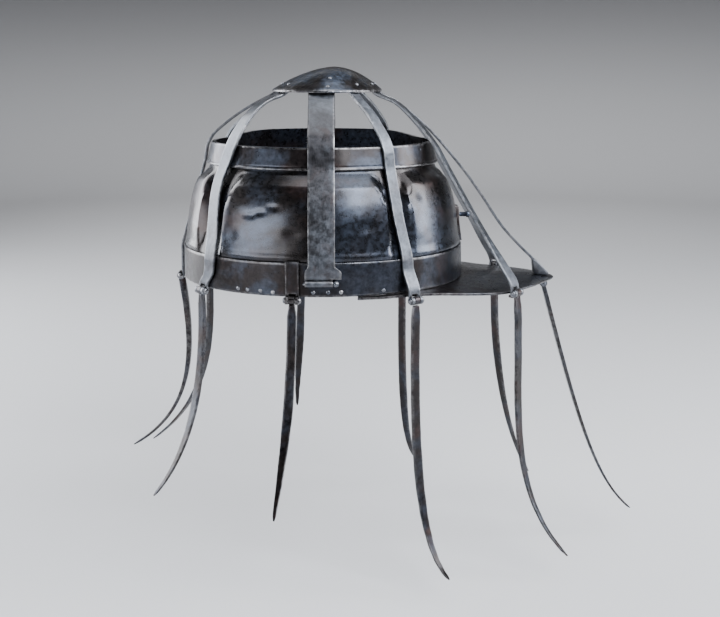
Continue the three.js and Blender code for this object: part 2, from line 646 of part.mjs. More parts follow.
function add(name, geometry, finish) {
  const mesh = new THREE.Mesh(geometry, new THREE.MeshStandardMaterial(FINISHES[finish]));
  mesh.name = name;
  helmet.add(mesh);
}

add('skull', skull(), 'plate');
add('brow_band', browBand(), 'dark');
add('rim_band', rimBand(), 'dark');
add('crown_disc', crownDisc(), 'dark');
add('peak', peak(), 'dark');
add('front_strap', frontStrap(), 'dark');
add('front_stud', frontStud(), 'bright');

for (const station of STATIONS.map(withPin)) {
  const { name, foot, pivot } = station;
  add(`bar_${name}`, narrowBar(station, Math.atan2(pivot.y, pivot.x - CROWN_X)), 'brushed');
  add(`pin_${name}`, hingePin(station, BAR_FOOT_WIDTH), 'bright');
  add(`leg_${name}`, leg(station), 'leg');
  if (foot === 'tip') {
    add(`hinge_${name}`, tipHinge(station), 'dark');
  }
}

for (const station of SIDE_STATIONS.map(withPin)) {
  const { name, side } = station;
  add(`bar_${name}`, sideBar(side), 'brushed');
  add(`side_pin_${name}`, sidePin(side), 'bright');
  add(`hinge_${name}`, sideHinge(station), 'dark');
  add(`pin_${name}`, hingePin(station, SIDE_HINGE_WIDTH), 'bright');
  add(`leg_${name}`, leg(station), 'leg');
}

export default helmet;
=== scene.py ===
"""Caged iron helmet with ten hinged guard bars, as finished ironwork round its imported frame.

Everything is in metres, +Z up and +X towards the peak. The brow band's lower edge lies at
z = 0, where the helmet sits on a head.
"""

import json
import math

import bmesh
import bpy
from bpy.props import FloatProperty, FloatVectorProperty, IntProperty, PointerProperty
from mathutils import Matrix, Vector, noise

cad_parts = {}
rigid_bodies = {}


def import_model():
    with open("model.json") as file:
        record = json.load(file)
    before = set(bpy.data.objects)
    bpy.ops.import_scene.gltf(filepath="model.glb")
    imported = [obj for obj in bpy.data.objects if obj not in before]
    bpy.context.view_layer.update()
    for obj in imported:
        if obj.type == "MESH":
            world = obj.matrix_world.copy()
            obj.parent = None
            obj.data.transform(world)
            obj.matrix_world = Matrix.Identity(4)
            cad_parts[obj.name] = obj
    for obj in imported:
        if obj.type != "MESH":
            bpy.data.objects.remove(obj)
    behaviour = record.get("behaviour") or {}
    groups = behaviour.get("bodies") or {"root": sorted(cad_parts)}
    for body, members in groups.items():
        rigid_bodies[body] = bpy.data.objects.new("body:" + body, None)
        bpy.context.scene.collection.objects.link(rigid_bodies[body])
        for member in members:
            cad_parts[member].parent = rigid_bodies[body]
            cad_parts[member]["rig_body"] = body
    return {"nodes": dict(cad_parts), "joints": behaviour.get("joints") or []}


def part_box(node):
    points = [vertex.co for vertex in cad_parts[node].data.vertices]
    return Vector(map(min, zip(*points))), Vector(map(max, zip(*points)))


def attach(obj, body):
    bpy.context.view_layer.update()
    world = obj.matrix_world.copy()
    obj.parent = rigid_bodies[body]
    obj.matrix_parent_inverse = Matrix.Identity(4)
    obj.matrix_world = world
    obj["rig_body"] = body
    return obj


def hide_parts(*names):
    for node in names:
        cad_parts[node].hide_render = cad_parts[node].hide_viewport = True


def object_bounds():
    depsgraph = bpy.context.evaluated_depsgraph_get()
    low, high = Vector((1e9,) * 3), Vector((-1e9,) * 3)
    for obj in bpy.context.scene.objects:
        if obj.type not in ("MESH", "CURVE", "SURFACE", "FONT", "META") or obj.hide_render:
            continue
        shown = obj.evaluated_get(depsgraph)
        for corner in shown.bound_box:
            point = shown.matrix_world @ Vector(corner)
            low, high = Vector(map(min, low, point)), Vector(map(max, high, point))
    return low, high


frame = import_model()

bl_info = {
    "name": "Caged Iron Helmet",
    "version": (1, 0, 0),
    "blender": (4, 5, 0),
    "location": "View3D > Sidebar > Helmet",
    "description": "Forges a caged iron helmet with hinged guard bars round its packed frame",
    "category": "Add Mesh",
}

MM = 0.001
FRAME_LOW, FRAME_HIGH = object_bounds()

# ---------------------------------------------------------------- sizes read from the frame

BAND_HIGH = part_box("brow_band")[1]
BAND_HALF_LENGTH, BAND_HALF_WIDTH, BAND_HEIGHT = BAND_HIGH
ROUNDNESS = BAND_HALF_WIDTH / BAND_HALF_LENGTH
BAND_TOP_HALF_LENGTH = BAND_HALF_LENGTH - 0.7 * MM
BAND_THICKNESS = 2 * MM

RIM_LOW, RIM_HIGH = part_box("rim_band")
RIM_BOTTOM = RIM_LOW.z
RIM_TOP = RIM_BOTTOM + 17 * MM
FAR_RIM_RISE = RIM_HIGH.z - RIM_TOP
RIM_BOTTOM_HALF_LENGTH = RIM_HIGH.x
RIM_TOP_HALF_LENGTH = RIM_BOTTOM_HALF_LENGTH - 4.2 * MM
RIM_THICKNESS = 1.8 * MM
RIM_BEAD = 0.8 * MM

SKULL_THICKNESS = 1.6 * MM
PANEL_RISE = 4.5 * MM
PANEL_BULGE = 2.3 * MM
# A panel stands out a little at its foot, on the brow band's top, and fully from its belly up.
PANEL_FOOT_LOW, PANEL_FOOT_HIGH = 26.2 * MM, 26.8 * MM
PANEL_FOOT_RISE = 1.7 * MM
PANEL_BELLY = 70 * MM
PANEL_FALL = 43 * MM
PANEL_TOP = 92 * MM
WALL_INSET = 1.7 * MM

CROWN_LOW, CROWN_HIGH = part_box("crown_disc")
CROWN_X = 4 * MM
CROWN_RADIUS = CROWN_HIGH.y
CROWN_THICKNESS = 1.7 * MM
CROWN_EDGE_HEIGHT = CROWN_LOW.z + CROWN_THICKNESS
CROWN_RISE = CROWN_HIGH.z - CROWN_EDGE_HEIGHT
CROWN_LEAN = 6 * MM

GAP = 0.3 * MM
BAR_THICKNESS = 2.2 * MM
BAR_WIDTH = 8.8 * MM
BAR_FOOT_WIDTH = 10.6 * MM
SIDE_BAR_WIDTH = 20.4 * MM
BARREL_RADIUS = 3.2 * MM
PIN_RADIUS = 1.3 * MM
LEG_EYE_WIDTH = 4.8 * MM
KNUCKLE_THICKNESS = 1.65 * MM
BAR_ROLL_TURN, SIDE_ROLL_TURN = math.radians(258), math.radians(262)
PLATE_ROLL_TURN, TIP_ROLL_TURN = math.radians(255), math.radians(250)
SLOT_HALF = LEG_EYE_WIDTH / 2 + GAP
SLOT_DEPTH = 5 * MM
HINGE_DROP = 2 * MM
PEAK_THICKNESS = 1.8 * MM
# The flat strip that each leg is drawn out of, longer than the leg's straight line.
LEG_STRIP_WIDTH, LEG_STRIP_THICKNESS, LEG_STRIP_SPARE = 7 * MM, 3 * MM, 1.08

# Each leg was bent by hand: two bend points and the tip, as outwards, sideways and down from
# its pin, in millimetres, with how thick its top is.
LEGS = {
    "rear": ((-11, 0, 72), (-4, 0, 122), (47, 0, 151), 5.6),
    "rear_side_near": ((-1, 0, 76), (16, 0, 132), (51, -1, 159), 3.6),
    "rear_side_far": ((-3, 0, 81), (7, 0, 129), (72, 5, 178), 3.6),
    "side_near": ((5, 0, 85), (33, -3, 123), (57, -4, 154), 3.6),
    "side_far": ((-1, 0, 88), (32, 2, 135), (26, 2, 158), 3.6),
    "front_side_near": ((-3, 0, 140), (13, 0, 203), (47, 0, 213), 3.6),
    "front_side_far": ((-2, 0, 140), (6, 0, 200), (44, 0, 214), 3.6),
    "peak_side_near": ((8, 1, 69), (-9, 0, 169), (54, 4, 211), 3.6),
    "peak_side_far": ((-5, 0, 53), (10, -1, 151), (53, -4, 211), 3.6),
    "peak_tip": ((35, 0, 123), (54, 0, 180), (86, 0, 206), 3.6),
}
FEET = {
    "rear": "band", "rear_side_near": "band", "rear_side_far": "band",
    "side_near": "plate", "side_far": "plate",
    "front_side_near": "brim", "front_side_far": "brim",
    "peak_side_near": "peak", "peak_side_far": "peak", "peak_tip": "tip",
}

# A bar that is broader and rounder than the others, and bars that wander sideways on their way
# down, as heights in millimetres and degrees round the cage.
BROAD_BARS = {"rear_side_near": 12 * MM}
ROUND_BARS = {"rear_side_near"}
STRAIGHT = [(0, 0)]
SWEEPS = {
    "rear_side_near": [(1, 0), (14, 3.6), (25, 4.2), (80, -1.3), (114, 3.5), (150, 0)],
    "front_side_near": [(-5, 0), (8, 0), (30, -0.9), (60, -2), (110, -2.4), (130, -3.4),
                        (150, -6.5)],
}


class Station:
    """A place round the rim where a leg hangs on a pin."""

    def __init__(self, joint):
        self.name = joint["name"].removesuffix("_hinge")
        self.pivot = Vector(joint["pos_m"])
        self.swing = math.atan2(joint["axis"][0], -joint["axis"][1])
        self.angle = math.atan2(self.pivot.y, self.pivot.x - CROWN_X)
        self.foot = FEET[self.name]
        self.sweep = SWEEPS.get(self.name, STRAIGHT)
        self.bar_width = BROAD_BARS.get(self.name, BAR_WIDTH)
        self.round = self.name in ROUND_BARS

        self.at_pin = Matrix.Translation(self.pivot) @ Matrix.Rotation(self.swing, 4, "Z")


STATIONS = [Station(joint) for joint in frame["joints"]]
NARROW_STATIONS = [station for station in STATIONS if station.foot != "plate"]
PLATE_STATIONS = [station for station in STATIONS if station.foot == "plate"]

# ---------------------------------------------------------------- small helpers


def smooth(x, low, high):
    """0 below low, 1 above high, with a soft slope between."""
    t = min(max((x - low) / (high - low), 0.0), 1.0)
    return t * t * (3 - 2 * t)


def mix(a, b, share):
    """Part of the way from a to b."""
    return a + (b - a) * share


def turn_between(a, b):
    """The angle from b to a, taken the short way round."""
    return math.atan2(math.sin(a - b), math.cos(a - b))


def spread(low, high, steps):
    """Even distances from low to high."""
    return [mix(low, high, i / steps) for i in range(steps + 1)]


class Line:
    """A smooth flat line through points, measured along its length."""

    def __init__(self, points, fine=24):
        points = [Vector(p) for p in points]
        last = len(points) - 1
        self.points = []
        for i in range(last):
            before, start = points[max(i - 1, 0)], points[i]
            end, after = points[i + 1], points[min(i + 2, last)]
            for step in range(fine):
                self.points.append(self.between(before, start, end, after, step / fine))
        self.points.append(points[last])
        self.marks = [0.0]
        for a, b in zip(self.points, self.points[1:]):
            self.marks.append(self.marks[-1] + (b - a).length)
        self.length = self.marks[-1]

    @staticmethod
    def between(before, start, end, after, t):
        """A point between start and end, on a curve that also heeds their neighbours."""
        lead, tail = (end - before) * 0.5, (after - start) * 0.5
        return ((start * 2 - end * 2 + lead + tail) * t ** 3
                + (end * 3 - start * 3 - lead * 2 - tail) * t ** 2 + lead * t + start)

    def at(self, distance):
        """The point and the direction at a distance along the line."""
        distance = min(max(distance, 0.0), self.length)
        low, high = 0, len(self.marks) - 1
        while high - low > 1:
            middle = (low + high) // 2
            low, high = (middle, high) if self.marks[middle] <= distance else (low, middle)
        a, b = self.points[low], self.points[high]
        share = (distance - self.marks[low]) / (self.marks[high] - self.marks[low])
        before = self.points[max(low - 1, 0)]
        after = self.points[min(high + 1, len(self.points) - 1)]
        lead = (b - before).normalized()
        tail = (after - a).normalized()
        return a.lerp(b, share), lead.lerp(tail, share).normalized()


# ---------------------------------------------------------------- the head's rings and the dome


def ring_half_length(z):
    """Half length of the outside of the rings at a height."""
    stops = [(0, BAND_HALF_LENGTH), (BAND_HEIGHT, BAND_TOP_HALF_LENGTH),
             (RIM_BOTTOM, RIM_BOTTOM_HALF_LENGTH), (RIM_TOP, RIM_TOP_HALF_LENGTH)]
    for (low, start), (high, end) in zip(stops, stops[1:]):
        if z <= high or high == RIM_TOP:
            return mix(start, end, (z - low) / (high - low))


def reach(angle, half_length):
    """Distance from the cage's axis out to a ring of that half length."""
    along = math.cos(angle) / half_length
    across = math.sin(angle) / (half_length * ROUNDNESS)
    start = CROWN_X / half_length
    a = along * along + across * across
    b = 2 * start * along
    return (-b + math.sqrt(b * b - 4 * a * (start * start - 1))) / (2 * a)


def ring_normal(angle):
    """Which way the rings face at an angle round them."""
    return math.atan2(math.sin(angle) / ROUNDNESS ** 2, math.cos(angle))


def far_rim_lift(y, z):
    """How far the rim is raised on the far side."""
    share = smooth(z, RIM_BOTTOM + 3 * MM, RIM_TOP) * smooth(y, 30 * MM, 66 * MM)
    return FAR_RIM_RISE * share


def crown_lean(share):
    """How far the crown disc's top leans forwards, from its middle (0) to its edge (1)."""
    return CROWN_LEAN * (1 - share ** 1.5)


def crown_height(radius, angle=math.pi / 2):
    """Height of the crown disc's upper face."""
    share = min(radius / CROWN_RADIUS, 1)
    slid = (radius - crown_lean(share) * math.cos(angle)) / CROWN_RADIUS
    return CROWN_EDGE_HEIGHT + CROWN_RISE * (1 - min(abs(slid), 1) ** 1.8)


def under_crown(angle, clearance):
    """The start of a bar's line, close under the crown disc."""
    below = CROWN_THICKNESS + GAP + BAR_THICKNESS / 2 + clearance
    return [(r, crown_height(r, angle) - below) for r in (34 * MM, 39.5 * MM, CROWN_RADIUS)]


def sweep_at(sweep, z):
    """How far a bar has wandered round the cage at a height."""
    if z <= sweep[0][0] * MM:
        return math.radians(sweep[0][1])
    for (low, start), (high, end) in zip(sweep, sweep[1:]):
        if z <= high * MM:
            return math.radians(mix(start, end, smooth(z, low * MM, high * MM)))
    return math.radians(sweep[-1][1])


def panel_rise(z):
    """How far a panel stands out at a height. It meets the brow band's face at its foot."""
    fall = max((PANEL_BELLY - z) / PANEL_FALL, 0) ** 1.6
    full = PANEL_RISE + PANEL_BULGE
    foot = smooth(z, PANEL_FOOT_LOW, PANEL_FOOT_HIGH)
    return foot * (full - (full - PANEL_FOOT_RISE) * fall)


def over_skull(angle, clearance, sweep=STRAIGHT, level=False, over_panel=False):
    """A bar's line from under the crown disc, over the rim band and down the skull."""
    stand = GAP + BAR_THICKNESS / 2 + 0.4 * MM
    top = under_crown(angle, clearance)
    edge_radius, edge_height = top[-1]
    rim_y = math.sin(angle) * RIM_TOP_HALF_LENGTH * ROUNDNESS + 7 * MM
    lift = far_rim_lift(rim_y, RIM_TOP)
    rim_angle = angle + sweep_at(sweep, RIM_TOP)
    rim_radius = reach(rim_angle, RIM_TOP_HALF_LENGTH) + stand + 0.5 * MM
    shoulder = [(mix(edge_radius, rim_radius, share),
                 mix(edge_height, RIM_TOP + lift + 1 * MM,
                     0.3 * share + 0.7 * share ** 2.4 if level
                     else 0.72 * share + 0.28 * share ** 3))
                for share in (0.2, 0.4, 0.6, 0.8, 0.93)]
    heights = (RIM_TOP - 3 * MM, RIM_TOP - 9 * MM, RIM_BOTTOM, 75 * MM, 58 * MM, 42 * MM,
               BAND_HEIGHT, 18 * MM, 10 * MM)

    def proud(z):
        upright = smooth(z, 27 * MM, 32 * MM) * (1 - smooth(z, 80 * MM, PANEL_TOP))
        return max(panel_rise(z) * upright - WALL_INSET, 0)

    wall = [(reach(angle + sweep_at(sweep, z), ring_half_length(z)) + stand
             + 0.7 * MM * smooth(z, 94 * MM, 106 * MM)
             + (proud(z) if over_panel else 0),
             z + lift * smooth(z, RIM_BOTTOM, RIM_TOP)) for z in heights]
    return [*top, *shoulder, *wall]


def millimetres(*points):
    """Points given in millimetres, as metres."""
    return [tuple(value * MM for value in point) for point in points]


def bar_line(station):
    """A narrow bar's line down to its pin, or down to the peak for the bar at its tip."""
    angle, pivot = station.angle, station.pivot
    foot = math.hypot(pivot.x - CROWN_X, pivot.y) - BARREL_RADIUS + BAR_THICKNESS / 2
    if station.foot == "band":
        wall = over_skull(angle, 0.9 * MM, station.sweep, station.round)
        return [*wall, (foot, 4 * MM), (foot, pivot.z)]
    if station.foot == "brim":
        return [*over_skull(angle, 0.9 * MM, station.sweep)[:-1], (foot - 3.4 * MM, 9.5 * MM),
                (foot - 0.8 * MM, 4.5 * MM), (foot, 0.5 * MM), (foot, pivot.z)]
    if station.foot == "peak":
        return [*under_crown(angle, 0.8 * MM),
                *millimetres((63.5, 138.5), (89, 113), (106.5, 85), (123.5, 57), (140, 31),
                             (150.5, 15)),
                (foot - 2.6 * MM, 5 * MM), (foot, -1.5 * MM), (foot, pivot.z)]
    return [*under_crown(angle, 0.8 * MM),
            *millimetres((59.4, 139), (84.3, 118), (109.6, 89.2), (127, 65.8), (144.2, 40.5),
                         (158, 25), (173, 10.4))]


def peak_fall(x, y):
    """How far the peak's upper face lies below its inner edge."""
    angle = math.atan2(y, x)
    edge = 1 / math.hypot(math.cos(angle) / BAND_HALF_LENGTH, math.sin(angle) / BAND_HALF_WIDTH)
    out = max(math.hypot(x, y) - edge, 0)
    beside = max(abs(y) - 6 * MM, 0) * min(out / (40 * MM), 1)
    return 0.035 * out + 0.07 * beside + 1 * MM * smooth(x, 178 * MM, 195 * MM)


# ---------------------------------------------------------------- forging helpers


def hammered(point, size, depth, seed=0.0):
    """Shallow round hammer marks, as a height below the face."""
    place = Vector(point) / size + Vector((seed, seed * 0.7, seed * 1.3))
    near = noise.voronoi(place)[0]
    return -depth * (1 - smooth(near[0], 0.0, 0.75))


def uneven(point, size, height, seed=0.0):
    """A slow waviness of hand-beaten sheet."""
    return height * noise.noise(Vector(point) / size + Vector((seed, seed, seed)))


def rub(bm, worn_at):
    """Stores how rubbed each corner is, from a function of its place."""
    layer = bm.verts.layers.float.get("edge_wear") or bm.verts.layers.float.new("edge_wear")
    for corner in bm.verts:
        corner[layer] = worn_at(corner.co)


def near_edge(distance, fades_by):
    """Rubbed at an edge, fading out a little way in from it."""
    return 1 - smooth(distance, 0.3 * MM, fades_by)


def face_outwards(bm):
    """Turns every face of a closed body outwards."""
    bmesh.ops.recalc_face_normals(bm, faces=bm.faces[:])


def thicken(bm, faces, move):
    """Gives flat faces a thickness, and leaves a closed body."""
    raised = bmesh.ops.extrude_face_region(bm, geom=faces, use_keep_orig=True)["geom"]
    bmesh.ops.translate(bm, vec=move,
                        verts=[part for part in raised if isinstance(part, bmesh.types.BMVert)])
    face_outwards(bm)


def round_over(bm, edges, edge, segments):
    """Rounds edges over, to a width and in a number of steps."""
    bmesh.ops.bevel(bm, geom=edges, offset=edge, offset_type="OFFSET", segments=segments,
                    profile=0.5, affect="EDGES", clamp_overlap=True, material=-1)


def spun(loop, steps, axis=(0, 0, 1), closed=True):
    """Turns an outline of (radius, height) points a full turn round the axis Z, X or Y."""
    bm = bmesh.new()
    if axis == (0, 0, 1):
        corners = [bm.verts.new((r, 0, z)) for r, z in loop]
    elif axis == (0, 1, 0):
        corners = [bm.verts.new((r, y, 0)) for r, y in loop]
    else:
        corners = [bm.verts.new((x, r, 0)) for r, x in loop]
    edges = [bm.edges.new(pair) for pair in
             zip(corners, corners[1:] + corners[:1] if closed else corners[1:])]
    bmesh.ops.spin(bm, geom=corners + edges, cent=(0, 0, 0), axis=axis, angle=math.tau,
                   steps=steps, use_merge=True)
    bmesh.ops.remove_doubles(bm, verts=bm.verts[:], dist=1e-6)
    face_outwards(bm)
    return bm


def oval_ring(loop, steps):
    """Turns an outline round the head, narrower across than along."""
    bm = spun(loop, steps)
    bmesh.ops.scale(bm, vec=(1, ROUNDNESS, 1), verts=bm.verts[:])
    return bm


def slab(columns, rows, thickness, edge, segments=2, cut=None):
    """A flat strip with rounded edges. Columns lie along X, rows along Y, and Z is its depth.

    The cut is what is taken out of its far end: from where to where across, and from which row.
    """
    bm = bmesh.new()
    bmesh.ops.create_grid(bm, x_segments=len(columns) - 1, y_segments=len(rows) - 1, size=0.5)
    for corner in bm.verts:
        column = round((corner.co.x + 0.5) * (len(columns) - 1))
        row = round((corner.co.y + 0.5) * (len(rows) - 1))
        corner.co = (columns[column], rows[row], 0)
    if cut:
        low, high, start = cut
        gone = [face for face in bm.faces
                if low < face.calc_center_median().x < high
                and face.calc_center_median().y > start]
        bmesh.ops.delete(bm, geom=gone, context="FACES")
    thicken(bm, bm.faces[:], (0, 0, thickness))
    round_over(bm, [line for line in bm.edges
                    if len(line.link_faces) == 2 and line.calc_face_angle() > 1.0],
               edge, segments)
    half_width, length = columns[-1], rows[-1]

    def worn_at(place):
        x, y = place.x, place.y
        border = min(half_width - abs(x), y, length - y)
        if cut:
            border = min(border, math.hypot(max(low - x, x - high, 0), max(start - y, 0)))
        return near_edge(border, 1.6 * MM)

    rub(bm, worn_at)
    return bm


def reshape(bm, move):
    """Moves every corner through a function of its place."""
    for corner in bm.verts:
        corner.co = move(corner.co)
    return bm


def outline_block(outline, depth, edge):
    """A solid between y = -depth/2 and depth/2 with an outline of (x, z) points."""
    bm = bmesh.new()
    corners = [bm.verts.new((x, -depth / 2, z)) for x, z in outline]
    thicken(bm, [bm.faces.new(corners)], (0, depth, 0))
    round_over(bm, [line for line in bm.edges if line.calc_face_angle() > 0.5], edge, 3)
    rub(bm, lambda place: 0.6)
    return bm


def join(bm, other, matrix=Matrix.Identity(4)):
    """Adds another closed body to a piece, and lets the other go."""
    other.transform(matrix)
    mesh = bpy.data.meshes.new("part")
    other.to_mesh(mesh)
    other.free()
    bm.from_mesh(mesh)
    bpy.data.meshes.remove(mesh)
    return bm


def finish_piece(name, bm, material, node=None, body=None, sharp=38.0):
    """Makes a piece of a mesh, gives it its iron, and hangs it on the body it moves with."""
    if not bm.faces:
        raise RuntimeError(f"{name} came out empty")
    mesh = bpy.data.meshes.new(name)
    bm.to_mesh(mesh)
    bm.free()
    mesh.shade_smooth()
    mesh.set_sharp_from_angle(angle=math.radians(sharp))
    mesh.materials.append(material)
    piece = bpy.data.objects.new(name, mesh)
    bpy.context.scene.collection.objects.link(piece)
    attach(piece, body or frame["nodes"][node]["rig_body"])
    if node:
        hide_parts(node)
    return piece


# ---------------------------------------------------------------- iron finishes


class Tree:
    """Adds and links nodes in one node tree."""

    def __init__(self, tree):
        self.tree = tree

    def add(self, kind, inputs=(), **settings):
        node = self.tree.nodes.new(kind)
        for key, value in settings.items():
            setattr(node, key, value)
        for key, value in dict(inputs).items():
            if isinstance(value, bpy.types.NodeSocket):
                self.tree.links.new(value, node.inputs[key])
            else:
                node.inputs[key].default_value = value
        return node

    def math(self, operation, a, b=0.0, clamp=False):
        return self.add("ShaderNodeMath", {0: a, 1: b}, operation=operation,
                        use_clamp=clamp).outputs[0]

    def ramp(self, value, low, high, out_low=0.0, out_high=1.0):
        """Carries a value from one range to another, softly, and stops at its ends."""
        return self.add("ShaderNodeMapRange",
                        {"Value": value, "From Min": low, "From Max": high,
                         "To Min": out_low, "To Max": out_high},
                        interpolation_type="SMOOTHSTEP").outputs["Result"]

    def blend(self, share, a, b, mode="MIX"):
        return self.add("ShaderNodeMix", {0: share, 6: a, 7: b}, data_type="RGBA",
                        blend_type=mode).outputs[2]

    def noise(self, vector, scale, detail=3.0, rough=0.55, distortion=0.0):
        return self.add("ShaderNodeTexNoise",
                        {"Vector": vector, "Scale": scale, "Detail": detail,
                         "Roughness": rough, "Distortion": distortion}).outputs["Fac"]


def new_group(name, inputs, outputs):
    """A named shader group and its builder. Sockets are given as (label, kind, default)."""
    group = bpy.data.node_groups.new(name, "ShaderNodeTree")
    for label, kind, default in inputs:
        socket = group.interface.new_socket(label, in_out="INPUT", socket_type=kind)
        socket.default_value = default
    for label, kind in outputs:
        group.interface.new_socket(label, in_out="OUTPUT", socket_type=kind)
    build = Tree(group)
    return (group, build, build.add("NodeGroupInput").outputs,
            build.add("NodeGroupOutput").inputs)


FLOAT, COLOUR, VECTOR = "NodeSocketFloat", "NodeSocketColor", "NodeSocketVector"
STROKE_STRETCH = (1500, 1500, 90)
OIL_ROUGHNESS = 0.22


def beaten_face_group():
    """Hammer marks, a slow waviness and a fine grain, as one height."""
    group, build, given, out = new_group(
        "beaten_face",
        [("Vector", VECTOR, (0, 0, 0)), ("Mark Scale", FLOAT, 130.0), ("Mark Depth", FLOAT, 0.5),
         ("Grain Scale", FLOAT, 900.0), ("Grain Depth", FLOAT, 0.15)],
        [("Height", FLOAT)])
    wander = build.add("ShaderNodeTexNoise", {"Vector": given["Vector"], "Scale": 60.0,
                                              "Detail": 2.0})
    push = build.add("ShaderNodeVectorMath", {0: wander.outputs["Color"], "Scale": 0.006},
                     operation="SCALE")
    bent = build.add("ShaderNodeVectorMath", {0: given["Vector"], 1: push.outputs[0]},
                     operation="ADD")
    marks = build.add("ShaderNodeTexVoronoi",
                      {"Vector": bent.outputs[0], "Scale": given["Mark Scale"],
                       "Smoothness": 0.6, "Randomness": 1.0}, feature="SMOOTH_F1")
    dish = build.ramp(marks.outputs["Distance"], 0.0, 0.7)
    slow = build.noise(given["Vector"], 35.0, 2.0)
    grain = build.noise(given["Vector"], given["Grain Scale"], 4.0, 0.6)
    height = build.math("MULTIPLY", dish, given["Mark Depth"])
    height = build.math("ADD", height, build.math("MULTIPLY", slow, 0.6))
    height = build.math("ADD", height, build.math("MULTIPLY", grain, given["Grain Depth"]))
    group.links.new(height, out["Height"])
    return group


def patina_group():
    """Blued, browned and blackened patches of old oiled iron, as a colour and a roughness."""
    group, build, given, out = new_group(
        "oiled_patina",
        [("Vector", VECTOR, (0, 0, 0)), ("Black", COLOUR, (0.02, 0.02, 0.022, 1)),
         ("Blue", COLOUR, (0.06, 0.07, 0.09, 1)), ("Brown", COLOUR, (0.07, 0.045, 0.03, 1)),
         ("Patch Scale", FLOAT, 22.0), ("Blue Least", FLOAT, 0.0), ("Blue Share", FLOAT, 0.5),
         ("Brown Share", FLOAT, 0.35), ("Polish", FLOAT, 0.28), ("Dullness", FLOAT, 0.25)],
        [("Colour", COLOUR), ("Roughness", FLOAT), ("Spots", FLOAT)])
    where = given["Vector"]
    broad = build.noise(where, given["Patch Scale"], 5.0, 0.6, 0.4)
    shifted = build.add("ShaderNodeVectorMath", {0: where, 1: (0.37, 0.11, 0.23)},
                        operation="ADD").outputs[0]
    warm = build.noise(shifted, given["Patch Scale"], 5.0, 0.62, 0.6)
    mottle = build.noise(where, 260.0, 4.0, 0.65)
    spots = build.noise(shifted, 620.0, 3.0, 0.7)
    blue = build.math("ADD", given["Blue Least"], build.math(
        "MULTIPLY", build.ramp(broad, 0.42, 0.62),
        build.math("SUBTRACT", given["Blue Share"], given["Blue Least"])), True)
    brown = build.math("MULTIPLY", build.ramp(warm, 0.48, 0.66), given["Brown Share"], True)
    colour = build.blend(blue, given["Black"], given["Blue"])
    colour = build.blend(brown, colour, given["Brown"])
    speck = build.ramp(mottle, 0.35, 0.7, 0.72, 1.25)
    colour = build.blend(1.0, colour, build.add(
        "ShaderNodeCombineColor", {0: speck, 1: speck, 2: speck}).outputs[0], "MULTIPLY")
    rough = build.math("ADD", given["Polish"],
                       build.math("MULTIPLY", build.ramp(mottle, 0.3, 0.75), given["Dullness"]))
    rough = build.math("ADD", rough, build.math("MULTIPLY", brown, 0.12), True)
    rust = build.ramp(spots, 0.62, 0.74)
    group.links.new(colour, out["Colour"])
    group.links.new(rough, out["Roughness"])
    group.links.new(rust, out["Spots"])
    return group


def worn_edge_group():
    """Rubbed bright metal along edges, broken up so that it comes and goes."""
    group, build, given, out = new_group(
        "rubbed_edge",
        [("Vector", VECTOR, (0, 0, 0)), ("Edge", FLOAT, 0.0), ("Amount", FLOAT, 0.5),
         ("Scratch Scale", FLOAT, 240.0)],
        [("Mask", FLOAT)])
    broken = build.noise(given["Vector"], given["Scratch Scale"], 5.0, 0.7)
    broad = build.noise(given["Vector"], 45.0, 2.0)
    rubbed = build.math("MULTIPLY", given["Edge"], build.ramp(broken, 0.32, 0.66))
    rubbed = build.math("MULTIPLY", rubbed, build.ramp(broad, 0.3, 0.7, 0.45, 1.0))
    group.links.new(build.math("MULTIPLY", rubbed, given["Amount"], True), out["Mask"])
    return group


def file_stroke_group():
    """Fine strokes of a file or a stone, long along one direction, as a mask and a height."""
    group, build, given, out = new_group(
        "file_strokes",
        [("Vector", VECTOR, (0, 0, 0)), ("Stretch", VECTOR, (900, 900, 40))],
        [("Strokes", FLOAT)])
    scaled = build.add("ShaderNodeVectorMath", {0: given["Vector"], 1: given["Stretch"]},
                       operation="MULTIPLY").outputs[0]
    strokes = build.noise(scaled, 1.0, 4.0, 0.6)
    group.links.new(build.ramp(strokes, 0.3, 0.72), out["Strokes"])
    return group


